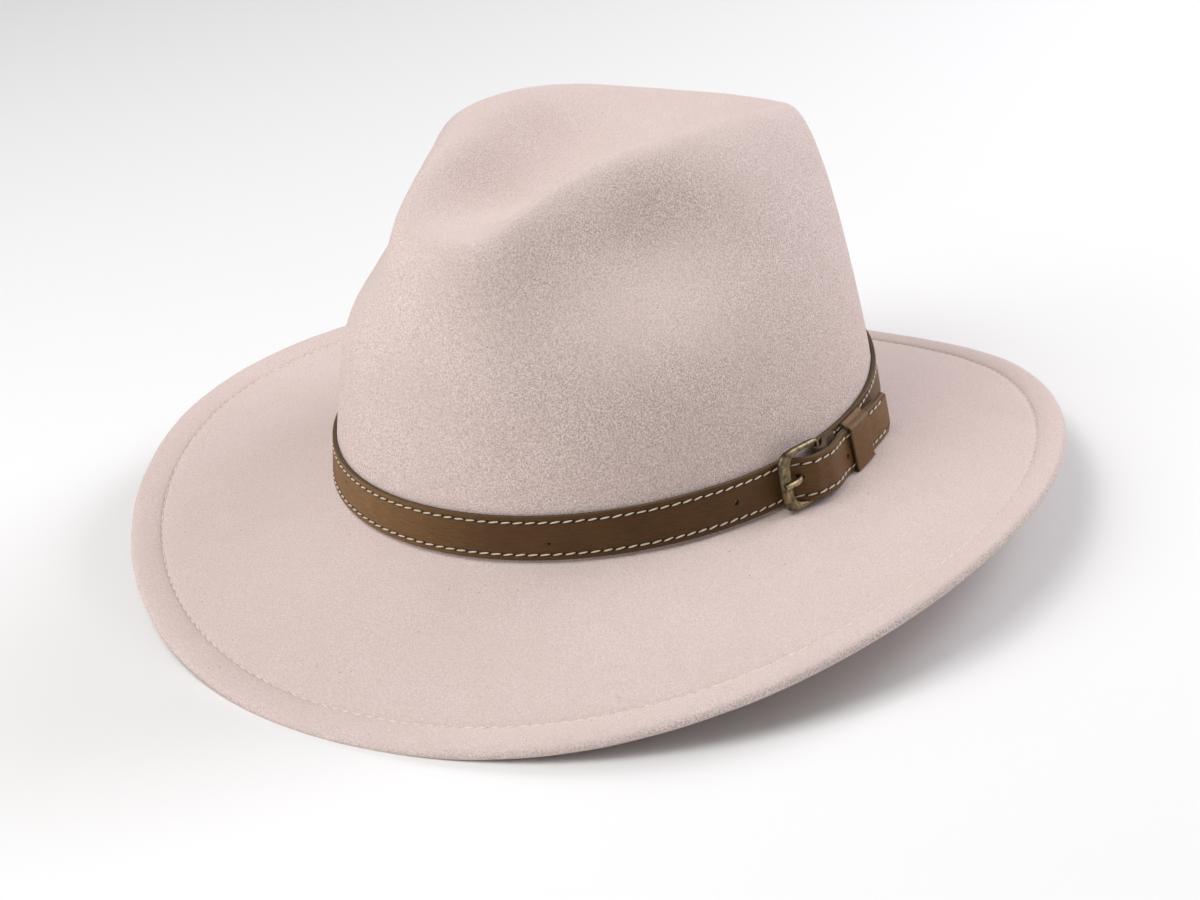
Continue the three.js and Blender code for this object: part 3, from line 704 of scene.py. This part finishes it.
# %% Punching
PUNCHES = [  # place along the strap, across it, half length, half width
    (strap_s(FELT_ROUND + HEEL_AT - 10.7), 8.0, 1.5, 1.15),
    (strap_s(FELT_ROUND + 96.4), 7.05, 0.95, 0.95),
    (strap_s(FELT_ROUND + 145.4), 6.0, 0.85, 0.85),
    (strap_s(FELT_ROUND + 36.5), 5.4, 0.45, 0.45),
    (strap_s(543.0), 9.0, 0.45, 0.45),
    (line_s[len(hidden) + len(bend) // 2], 7.2, 8.0, 1.5),
]
punch = bmesh.new()
for at, across, half_long, half_wide in PUNCHES:
    made = bmesh.ops.create_cone(punch, cap_ends=True, segments=24, radius1=1, radius2=1, depth=6)
    bmesh.ops.scale(punch, vec=(half_long, half_wide, 1), verts=made["verts"])
    bmesh.ops.translate(punch, vec=(at, across, 0), verts=made["verts"])
for face in punch.faces:
    face.material_index = 1


def flat_object(name, source, materials):
    mesh = bpy.data.meshes.new(name)
    source.to_mesh(mesh)
    source.free()
    for material in materials:
        mesh.materials.append(material)
    made = bpy.data.objects.new(name, mesh)
    bpy.context.scene.collection.objects.link(made)
    return made


def cut_with(target, cutter):
    """The mesh of target with cutter taken away; both helpers are then removed."""
    cut = target.modifiers.new("cut", "BOOLEAN")
    cut.operation = "DIFFERENCE"
    cut.solver = "EXACT"
    cut.object = cutter
    view = bpy.context.evaluated_depsgraph_get()
    made = bmesh.new()
    made.from_mesh(target.evaluated_get(view).to_mesh())
    bpy.data.objects.remove(target)
    bpy.data.objects.remove(cutter)
    return made


# %% [markdown]
# ## Leather
# The strap is smooth tanned leather with a low sheen: brown, clouded, a little darker where
# hands and stitches press it, and paler and rougher where it was cut. The grain follows
# the strip, so each vertex keeps its flat place in an attribute called "laid", and the
# pattern reads that. A second attribute gives the distance to the nearest row of stitches.
# The strap is painted paler toward both sides, where it turns side-on to the lamps and the
# white room: painted sheen and light. Its front keeps the darker brown.

# %% Smooth leather
STITCH_PITCH = 3.72
FRONT_AT = strap_s(FELT_ROUND)


def leather_finish(name, dark, mid, light, pale):
    material, shader = new_material(name, mid, 0.5)
    shader.inputs["Specular IOR Level"].default_value = 0.22
    laid = add_node(material, "ShaderNodeAttribute", attribute_name="laid").outputs["Vector"]
    row = add_node(material, "ShaderNodeAttribute", attribute_name="row").outputs["Fac"]
    clouds = noise_at(material, laid, 0.045, 4.0, 0.6)
    pores = noise_at(material, laid, 2.4, 3.0, 0.6)
    drawn = add_node(material, "ShaderNodeMapping", {"Vector": laid, "Scale": (0.25, 2.2, 1)})
    streaks = noise_at(material, drawn.outputs[0], 1.0, 3.0, 0.6)
    color = shade_mix(material, remap(material, clouds, 0.35, 0.65), mid, light)
    place = add_node(material, "ShaderNodeSeparateXYZ", {0: laid}).outputs["X"]
    # Painted sheen and light: the colour goes toward the pale brown on both sides of the front, and less
    # so round the back.
    sheen_toward_left = remap(material, place, FRONT_AT + 45, FRONT_AT + 185)
    sheen_toward_left = calculate(material, "MULTIPLY", sheen_toward_left, sheen_toward_left)
    behind = remap(material, place, FRONT_AT - 240, FRONT_AT - 70, 0.35, 1.0)
    sheen_toward_right = remap(material, place, FRONT_AT + 25, FRONT_AT - 30)
    sheen_toward_right = calculate(material, "MULTIPLY", behind, sheen_toward_right)
    painted_sheen_share = calculate(material, "MAXIMUM", sheen_toward_left, sheen_toward_right)
    color = shade_mix(material, painted_sheen_share, color, pale)
    color = shade_mix(material, remap(material, streaks, 0.35, 0.7, 0.0, 0.45), color, dark)
    color = shade_mix(material, remap(material, pores, 0.3, 0.42, 0.35, 0.0), color, dark)
    phase = calculate(material, "FRACT", calculate(material, "DIVIDE", place, STITCH_PITCH))
    off = calculate(material, "MULTIPLY", calculate(material, "SUBTRACT", phase, 0.5), STITCH_PITCH)
    row_squared = calculate(material, "MULTIPLY", row, row)
    reach = calculate(material, "ADD", calculate(material, "MULTIPLY", off, off), row_squared)
    # The near-black at each needle hole is painted shade inside the hole.
    hole = remap(material, reach, 0.06, 0.24, 0.85, 0.0)
    pressed_or_squarely_lit = remap(material, calculate(material, "ABSOLUTE", row), 0.35, 0.9, 0.45, 0.0)
    color = shade_mix(material, pressed_or_squarely_lit, color, dark)
    color = shade_mix(material, hole, color, (0.012, 0.006, 0.003))
    join(material, color, shader, "Base Color")
    join(material, remap(material, clouds, 0.3, 0.7, 0.42, 0.56), shader, "Roughness")
    height = calculate(material, "MULTIPLY_ADD", hole, -1.6, pores)
    bump = add_node(material, "ShaderNodeBump", {"Height": height, "Strength": 0.5, "Distance": 0.00025})
    join(material, bump.outputs["Normal"], shader, "Normal")
    return material


grain_leather = leather_finish(
    "brown_grain_leather",
    dark=(0.045, 0.02, 0.006), mid=(0.082, 0.037, 0.01),
    # pale is the colour of the painted sheen on the strap's sides.
    light=(0.105, 0.05, 0.014), pale=(0.24, 0.125, 0.045),
)

# %% Cut leather
cut_leather, shader = new_material("cut_leather_edge", (0.24, 0.15, 0.075), 0.85)
where = object_places(cut_leather)
fibres = noise_at(cut_leather, where, 2200.0, 4.0, 0.7)
pale = remap(cut_leather, fibres, 0.3, 0.7)
color = shade_mix(cut_leather, pale, (0.035, 0.021, 0.009), (0.14, 0.085, 0.042))
join(cut_leather, color, shader, "Base Color")
bump = add_node(cut_leather, "ShaderNodeBump", {"Height": fibres, "Strength": 0.7, "Distance": 0.0003})
join(cut_leather, bump.outputs["Normal"], shader, "Normal")

# %% [markdown]
# ## Bending the strap
# Before it is bent, the leather is pressed down a little along its stitches and more at
# each needle hole, since the thread pulls it in. Then every flat place is sent to its
# place round the hat.

# %% Press, bend and finish the strap
ROW_PULL, HOLE_PULL = 0.1, 0.22
flat_strap = flat_object("flat_strap", bm, [grain_leather, cut_leather])
punches = flat_object("punches", punch, [grain_leather, cut_leather])
bm = cut_with(flat_strap, punches)
bm.verts.ensure_lookup_table()
laid_layer = bm.verts.layers.float_vector.new("laid")
row_layer = bm.verts.layers.float.new("row")
for vert in bm.verts:
    s, across, thick = vert.co
    row = min(across, BELT_WIDTH - across) - STITCH_IN
    vert[laid_layer] = (s, across, thick)
    vert[row_layer] = row
    if thick > 0:
        along_hole = (s / STITCH_PITCH) % 1 - 0.5
        pull = ROW_PULL * math.exp(-(row / 0.6) ** 2)
        pull += HOLE_PULL * math.exp(-(row / 0.6) ** 2 - (along_hole * STITCH_PITCH / 0.7) ** 2)
        vert.co.z -= pull
place_all(bm, bend_strap(corners(bm)))
leathers = [grain_leather, cut_leather]
belt_strap = finish_piece(bm, "belt_strap", leathers, sharp=40, outward=False)
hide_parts("hat_band")

# %% [markdown]
# ## Stitching
# Two rows of cream thread run just inside the strap's edges, from the buckle to the tip. Each
# stitch is a small plump bar that dives into a needle hole at both ends and leans a little,
# as a saddle stitch does. All the bars are laid on the flat strip and bent with it.

# %% Thread
thread, shader = new_material("cream_thread", (0.86, 0.81, 0.68), 0.7)
laid = add_node(thread, "ShaderNodeAttribute", attribute_name="laid").outputs["Vector"]
slant = {"Vector": laid, "Rotation": (0, 0, 0.7), "Scale": (3.2, 1, 1)}
twist = add_node(thread, "ShaderNodeMapping", slant).outputs[0]
wave = {"Vector": twist, "Scale": 1.0, "Distortion": 0.6}
plies = add_node(thread, "ShaderNodeTexWave", wave).outputs["Fac"]
dirt = noise_at(thread, laid, 0.3, 3.0)
# The darker lines between the plies are painted shade in the grooves of the twist.
color = shade_mix(thread, remap(thread, plies, 0.2, 0.9, 0.4, 0.0), (0.8, 0.73, 0.6), (0.5, 0.42, 0.3))
color = shade_mix(thread, remap(thread, dirt, 0.4, 0.7, 0.0, 0.3), color, (0.55, 0.45, 0.32))
join(thread, color, shader, "Base Color")
bump = add_node(thread, "ShaderNodeBump", {"Height": plies, "Strength": 0.5, "Distance": 0.0002})
join(thread, bump.outputs["Normal"], shader, "Normal")


def add_stitch(bm, length, wide, high):
    """One stitch along X at the origin: a plump bar with tapered ends."""
    made = bmesh.ops.create_uvsphere(bm, u_segments=6, v_segments=5, radius=1)["verts"]
    bmesh.ops.rotate(bm, cent=(0, 0, 0), matrix=Matrix.Rotation(math.pi / 2, 3, "Y"), verts=made)
    bmesh.ops.scale(bm, vec=(length / 2, wide / 2, high), verts=made)
    return made


# %% Rows on the flat strap
STITCH_LONG, STITCH_WIDE, STITCH_HIGH = 3.2, 0.56, 0.32
STITCH_LEAN = 0.15
first_stitch = math.ceil(strap_s(HEEL_AT + 6) / STITCH_PITCH)
stitches = []
for across in (BELT_WIDTH - STITCH_IN, STITCH_IN):
    count = int((STRAP_LENGTH - 0.6) / STITCH_PITCH)
    stitches += [(k * STITCH_PITCH, across) for k in range(first_stitch, count)]
rng = np.random.default_rng(7)
bm = bmesh.new()
for s, across in stitches:
    made = add_stitch(bm, STITCH_LONG + rng.normal(0, 0.12), STITCH_WIDE, STITCH_HIGH)
    lean = STITCH_LEAN + rng.normal(0, 0.03)
    bmesh.ops.rotate(bm, cent=(0, 0, 0), matrix=Matrix.Rotation(lean, 3, "Z"), verts=made)
    bmesh.ops.translate(bm, vec=(s, across, LEATHER / 2 - 0.02), verts=made)
laid_layer = bm.verts.layers.float_vector.new("laid")
for vert in bm.verts:
    vert[laid_layer] = vert.co
place_all(bm, bend_strap(corners(bm)))
finish_piece(bm, "strap_stitching", [thread], sharp=180)
print(len(stitches), "stitches")

# %% [markdown]
# ## The buckle
# The frame is cast brass with an antique finish: a wide front bar, slim sides and a thin
# heel bar that the strap is folded over. It starts as a small circle spun into a ring. Each
# section of that ring is then flattened and sent to its place between the frame's outline
# and its window, on the same curve as the strap.

# %% Brass
brass, shader = new_material("antique_brass", (0.31, 0.235, 0.13), 0.4, 1.0)
where = object_places(brass)
worn = add_node(brass, "ShaderNodeAttribute", attribute_name="worn").outputs["Fac"]
patches = noise_at(brass, where, 420.0, 5.0, 0.65)
drawn = add_node(brass, "ShaderNodeMapping", {"Vector": where, "Scale": (1, 1, 0.12)})
scratch = noise_at(brass, drawn.outputs[0], 2600.0, 3.0, 0.6)
bright = calculate(brass, "MULTIPLY", worn, remap(brass, patches, 0.3, 0.6))
color = shade_mix(brass, remap(brass, patches, 0.35, 0.65), (0.055, 0.042, 0.025), (0.165, 0.128, 0.074))
color = shade_mix(brass, bright, color, (0.56, 0.45, 0.27))
color = shade_mix(brass, remap(brass, scratch, 0.62, 0.7, 0.0, 0.35), color, (0.6, 0.48, 0.3))
join(brass, color, shader, "Base Color")
join(brass, remap(brass, patches, 0.3, 0.7, 0.55, 0.4), shader, "Roughness")
bump = add_node(brass, "ShaderNodeBump", {"Height": patches, "Strength": 0.35, "Distance": 0.0002})
join(brass, bump.outputs["Normal"], shader, "Normal")

# %% Buckle frame
FRAME_FRONT_AT = 113.8
FRAME_OUT = 4.6
BAR_ACROSS = 4.8
BAR_THICK = 2.6
LEG_ACROSS = 1.6
LEG_THICK = 2.0
FRAME_LOW, FRAME_HIGH = -0.85, 18.8
TOP_LEG_DIP = 0.9
WINDOW_TAPER = 0.13
CORNERS = {"outline": (0.26, 0.52), "window": (0.06, 0.44)}  # powers at the heel and the front
OUTLINE = (FRAME_FRONT_AT - BAR_ACROSS / 2, HEEL_AT + HEEL_RADIUS, FRAME_LOW, FRAME_HIGH)
WINDOW = (
    FRAME_FRONT_AT + BAR_ACROSS / 2, HEEL_AT - HEEL_RADIUS,
    FRAME_LOW + LEG_ACROSS, FRAME_HIGH - LEG_ACROSS,
)


def rounded_path(u, box, power):
    c, s = np.cos(u), np.sin(u)
    from_at, to_at, low_at, high_at = box
    x = (from_at + to_at) / 2 + (to_at - from_at) / 2 * np.sign(c) * np.abs(c) ** power
    y = (low_at + high_at) / 2 + (high_at - low_at) / 2 * np.sign(s) * np.abs(s) ** power
    return x, y


# %% A ring, pressed to the frame's outline and window
RING_STEPS = 144
SECTION_STEPS = 20
bm = bmesh.new()
bmesh.ops.create_circle(bm, segments=SECTION_STEPS, radius=1)
bmesh.ops.rotate(bm, cent=(0, 0, 0), matrix=Matrix.Rotation(math.pi / 2, 3, "X"), verts=bm.verts)
bmesh.ops.translate(bm, vec=(10, 0, 0), verts=bm.verts)
bmesh.ops.spin(
    bm, geom=bm.verts[:] + bm.edges[:], cent=(0, 0, 0), axis=(0, 0, 1),
    angle=2 * math.pi, steps=RING_STEPS, use_merge=True,
)
ring = corners(bm)
u = np.arctan2(ring[:, 1], ring[:, 0])
v = np.arctan2(ring[:, 2], np.hypot(ring[:, 0], ring[:, 1]) - 10)
outer_x, outer_y = rounded_path(u, OUTLINE, np.where(np.cos(u) > 0, *CORNERS["outline"]))
inner_x, inner_y = rounded_path(u, WINDOW, np.where(np.cos(u) > 0, *CORNERS["window"]))
frame_middle = (FRAME_LOW + FRAME_HIGH) / 2
forward = (HEEL_AT - inner_x) / (HEEL_AT - FRAME_FRONT_AT)
inner_y += (frame_middle - inner_y) * WINDOW_TAPER * forward**2
inward = (1 - np.cos(v)) / 2
at_x = outer_x + (inner_x - outer_x) * inward
at_y = outer_y + (inner_y - outer_y) * inward
share = (at_x - OUTLINE[0]) / (OUTLINE[1] - OUTLINE[0])
at_y -= TOP_LEG_DIP * smooth((share - 0.4) / 0.6) * np.clip((at_y - frame_middle) / 6, 0, 1)
bar = smooth((0.4 - share) / 0.3)
heel = smooth((share - 0.6) / 0.3)
thick = LEG_THICK + (BAR_THICK - LEG_THICK) * bar + (2 * HEEL_RADIUS - LEG_THICK) * heel
rise = np.sign(np.sin(v)) * np.abs(np.sin(v)) ** 0.85
out = FRAME_OUT + (HEEL_OUT - FRAME_OUT) * smooth((share - 0.42) / 0.42)
worn_layer = bm.verts.layers.float.new("worn")
for vert, high, face_turn in zip(bm.verts, rise, v):
    vert[worn_layer] = max(0.0, high) ** 3 * (0.35 + 0.65 * abs(math.cos(face_turn)) ** 0.5)
place_all(bm, on_foot(at_x, out + thick / 2 * rise, at_y))
bmesh.ops.remove_doubles(bm, verts=bm.verts, dist=1e-4)
buckle_ring = finish_piece(bm, "buckle_ring", [brass], sharp=180)
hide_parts("buckle_frame")

# %% [markdown]
# ## The prong
# The prong is a short bar bent round the heel bar. It dips under the free end, comes up
# through its hole and rests its tip on the front bar. A small circle is extruded along that
# way, station by station, so it stays one tube with a rounded tip.

# %% Prong
PRONG_UP = 8.9
# Both ways give stations: along from the heel bar, out from its middle, half width and
# half thickness. The first wraps the bar, the second runs to the tip.
PRONG_WAY = [
    (1.45, -1.1, 0.7, 0.4), (0.6, -1.66, 0.75, 0.42), (-0.6, -1.66, 0.8, 0.44),
    (-1.5, -1.0, 0.85, 0.45), (-1.78, 0.0, 0.9, 0.45), (-1.45, 1.05, 0.9, 0.45),
    (-0.6, 1.68, 0.9, 0.45), (0.5, 1.7, 0.9, 0.45), (1.45, 1.1, 0.85, 0.42), (1.8, 0.2, 0.8, 0.4),
]
SHAFT_WAY = [
    (-1.9, -0.5, 0.9, 0.52), (-3.0, -0.9, 0.9, 0.58), (-5.0, -1.35, 0.92, 0.64),
    (-8.0, -1.6, 0.92, 0.7), (-9.3, -1.45, 0.92, 0.74), (-10.1, -0.95, 0.92, 0.75),
    (-10.6, -0.2, 0.93, 0.76), (-10.95, 0.6, 0.95, 0.77), (-11.35, 1.35, 0.97, 0.77),
    (-12.0, 1.95, 1.0, 0.76), (-13.0, 2.35, 1.0, 0.75), (-14.5, 2.65, 1.0, 0.74),
    (-16.4, 2.8, 0.98, 0.72), (-18.0, 2.82, 0.94, 0.68), (-18.8, 2.8, 0.84, 0.58),
    (-19.2, 2.78, 0.6, 0.4),
]


def pull_tube(bm, stations, segments=14):
    """Extrudes a circle through stations given as along, out, half width and half thickness."""
    ring = bmesh.ops.create_circle(bm, cap_ends=True, segments=segments, radius=1)["verts"]
    loop = list(ring)
    edges = [edge for edge in bm.edges if edge.verts[0] in loop and edge.verts[1] in loop]
    unit = [vert.co.copy() for vert in loop]
    centres = [Vector((station[0], station[1])) for station in stations]
    for k, (x, out, half_wide, half_thick) in enumerate(stations):
        if k:
            grown = bmesh.ops.extrude_edge_only(bm, edges=edges)["geom"]
            loop = [item for item in grown if isinstance(item, bmesh.types.BMVert)]
            edges = [item for item in grown if isinstance(item, bmesh.types.BMEdge)]
        ahead = (centres[min(k + 1, len(centres) - 1)] - centres[max(k - 1, 0)]).normalized()
        order = range(len(loop))
        if k:
            order = [min(order, key=lambda i: (previous[i] - vert.co).length) for vert in loop]
        for i, vert in zip(order, loop):
            side, up = unit[i].x * half_wide, unit[i].y * half_thick
            vert.co = (x - ahead.y * up, out + ahead.x * up, side)
        previous = {i: vert.co.copy() for i, vert in zip(order, loop)}
    bmesh.ops.contextual_create(bm, geom=edges)


bm = bmesh.new()
pull_tube(bm, PRONG_WAY)
pull_tube(bm, SHAFT_WAY)
bmesh.ops.recalc_face_normals(bm, faces=bm.faces)
worn_layer = bm.verts.layers.float.new("worn")
bm.normal_update()
for vert in bm.verts:
    vert[worn_layer] = max(0.0, vert.normal.y) ** 1.5
shaped = corners(bm)
place_all(bm, on_foot(HEEL_AT + shaped[:, 0], HEEL_OUT + shaped[:, 1], PRONG_UP + shaped[:, 2]))
buckle_tongue = finish_piece(bm, "buckle_tongue", [brass], sharp=60)
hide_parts("buckle_prong")

# %% [markdown]
# ## The keeper
# A plain strip of the same leather goes round both layers of the strap and holds the free
# end down. In its own section it is a flat ring with tight round corners, so a rectangle is
# bevelled at its corners, extruded along the strap and given the leather's thickness.

# %% Keeper's section
KEEPER_FROM = 146.5
KEEPER_LONG = 14.5
KEEPER_LEATHER = 0.8
KEEPER_OUTSIDE_ROUND = 2.2
KEEPER_INSIDE_ROUND = 1.0
INNER = UNDER_KEEPER - LEATHER / 2 - 0.1
OUTER = UNDER_KEEPER + LEATHER / 2 + 0.7
KEEPER_LOW = BELT_BOTTOM - 0.15
KEEPER_HIGH = BELT_BOTTOM + FREE_WIDTH + 0.3
bm = bmesh.new()
bmesh.ops.create_grid(bm, x_segments=1, y_segments=14, size=1)
bmesh.ops.delete(bm, geom=bm.faces[:], context="FACES_ONLY")
rungs = [
    edge for edge in bm.edges
    if abs(edge.verts[0].co.x - edge.verts[1].co.x) > 0.5 and abs(edge.verts[0].co.y) < 0.99
]
bmesh.ops.delete(bm, geom=rungs, context="EDGES")
bends = [vert for vert in bm.verts if abs(vert.co.y) > 0.99]
wide = [vert for vert in bends if vert.co.x > 0]
tight = [vert for vert in bends if vert.co.x < 0]
middle = Vector(((INNER + OUTER) / 2, (KEEPER_LOW + KEEPER_HIGH) / 2, 0))
half_x = (OUTER - INNER) / 2 + KEEPER_LEATHER
half_y = (KEEPER_HIGH - KEEPER_LOW) / 2 + KEEPER_LEATHER
for vert in bm.verts:
    vert.co = (middle.x + vert.co.x * half_x, middle.y + vert.co.y * half_y, 0)
for turned, radius in ((wide, KEEPER_OUTSIDE_ROUND), (tight, KEEPER_INSIDE_ROUND)):
    bmesh.ops.bevel(
        bm, geom=turned, offset=radius, affect="VERTICES", segments=6, profile=0.5, material=-1,
    )

# %% Keeper, pulled along the strap and thickened
KEEPER_STEPS = 12
loop = bm.edges[:]
for step in range(KEEPER_STEPS):
    grown = bmesh.ops.extrude_edge_only(bm, edges=loop)["geom"]
    moved = [item for item in grown if isinstance(item, bmesh.types.BMVert)]
    loop = [item for item in grown if isinstance(item, bmesh.types.BMEdge)]
    bmesh.ops.translate(bm, vec=(0, 0, KEEPER_LONG / KEEPER_STEPS), verts=moved)
bmesh.ops.recalc_face_normals(bm, faces=bm.faces)
bm.normal_update()
outward = sum((face.calc_center_median() - middle).dot(face.normal) for face in bm.faces)
if outward < 0:
    bmesh.ops.reverse_faces(bm, faces=bm.faces)
bmesh.ops.solidify(bm, geom=bm.faces[:], thickness=KEEPER_LEATHER)
bmesh.ops.recalc_face_normals(bm, faces=bm.faces)
bm.normal_update()
break_edges(bm, 0.18)
laid_layer = bm.verts.layers.float_vector.new("laid")
row_layer = bm.verts.layers.float.new("row")
for vert in bm.verts:
    vert[laid_layer] = (vert.co.z + FRONT_AT + KEEPER_FROM, vert.co.y, vert.co.x)
    vert[row_layer] = 9.0
for face in bm.faces:
    outside = (face.calc_center_median() - middle).dot(face.normal) > 0
    face.material_index = 0 if outside and abs(face.normal.z) < 0.6 else 1

# %% Keeper, slanted and bent round the hat
shaped = corners(bm)
way = shaped[:, 2] / KEEPER_LONG
near_slant = np.interp(shaped[:, 1], [0, 13, 17], [1.8, 1.2, 1.8])
far_slant = np.interp(shaped[:, 1], [0, 16], [-0.5, 0.6])
slant = (1 - way) * near_slant + way * far_slant
keeper_along = KEEPER_FROM + shaped[:, 2] + slant
sunk = droop(keeper_along + FELT_ROUND, shaped[:, 0])
place_all(bm, on_foot(keeper_along, shaped[:, 0], shaped[:, 1] - sunk))
strap_keeper = finish_piece(bm, "strap_keeper", leathers, sharp=40, outward=False)
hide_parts("keeper_loop")

# %% [markdown]
# ## The welt's stitches
# The folded edge of the brim is held by one row of fine stitches in thread of the felt's
# own colour. They lie in the groove that they press into the wool, so only small pale
# dashes show. The same plump bar is used again, smaller and turned to the brim's surface.

# %% Welt stitches
WELT_PITCH = 4.0
WELT_STITCH = (2.9, 0.55, 0.3)  # length, width, height


def on_seam(turns, depth):
    return felt_point(turns, np.full_like(turns, SEAM), np.full_like(turns, depth), np.zeros_like(turns))


turns = np.linspace(0, 2 * math.pi, 2001)
seam_line = on_seam(turns, 0.25)
seam_length = np.concatenate([[0], np.cumsum(np.linalg.norm(np.diff(seam_line, axis=0), axis=1))])
count = int(seam_length[-1] / WELT_PITCH)
spots = np.interp((np.arange(count) + 0.5) * seam_length[-1] / count, seam_length, turns)
seat = on_seam(spots, 0.3)
above = on_seam(spots, -0.7) - seat
ahead = on_seam(spots + 0.004, 0.3) - seat
bm = bmesh.new()
for place, up, on in zip(seat, above, ahead):
    made = add_stitch(bm, WELT_STITCH[0] + rng.normal(0, 0.15), *WELT_STITCH[1:])
    x_axis = Vector(on).normalized()
    z_axis = Vector(up).normalized()
    y_axis = z_axis.cross(x_axis).normalized()
    turned = Matrix((x_axis, y_axis, x_axis.cross(y_axis))).transposed()
    askew = Matrix.Rotation(rng.normal(0, 0.05), 3, "Z")
    bmesh.ops.rotate(bm, cent=(0, 0, 0), matrix=askew, verts=made)
    bmesh.ops.rotate(bm, cent=(0, 0, 0), matrix=turned, verts=made)
    bmesh.ops.translate(bm, vec=place, verts=made)

# %% Welt thread
welt_thread, shader = new_material("felt_coloured_thread", (0.82, 0.74, 0.69), 0.8)
lint = noise_at(welt_thread, object_places(welt_thread), 900.0, 3.0, 0.6)
color = shade_mix(welt_thread, remap(welt_thread, lint, 0.3, 0.7), (0.74, 0.64, 0.58), (0.86, 0.8, 0.76))
join(welt_thread, color, shader, "Base Color")
finish_piece(bm, "welt_stitching", [welt_thread], sharp=180)
print(count, "welt stitches")
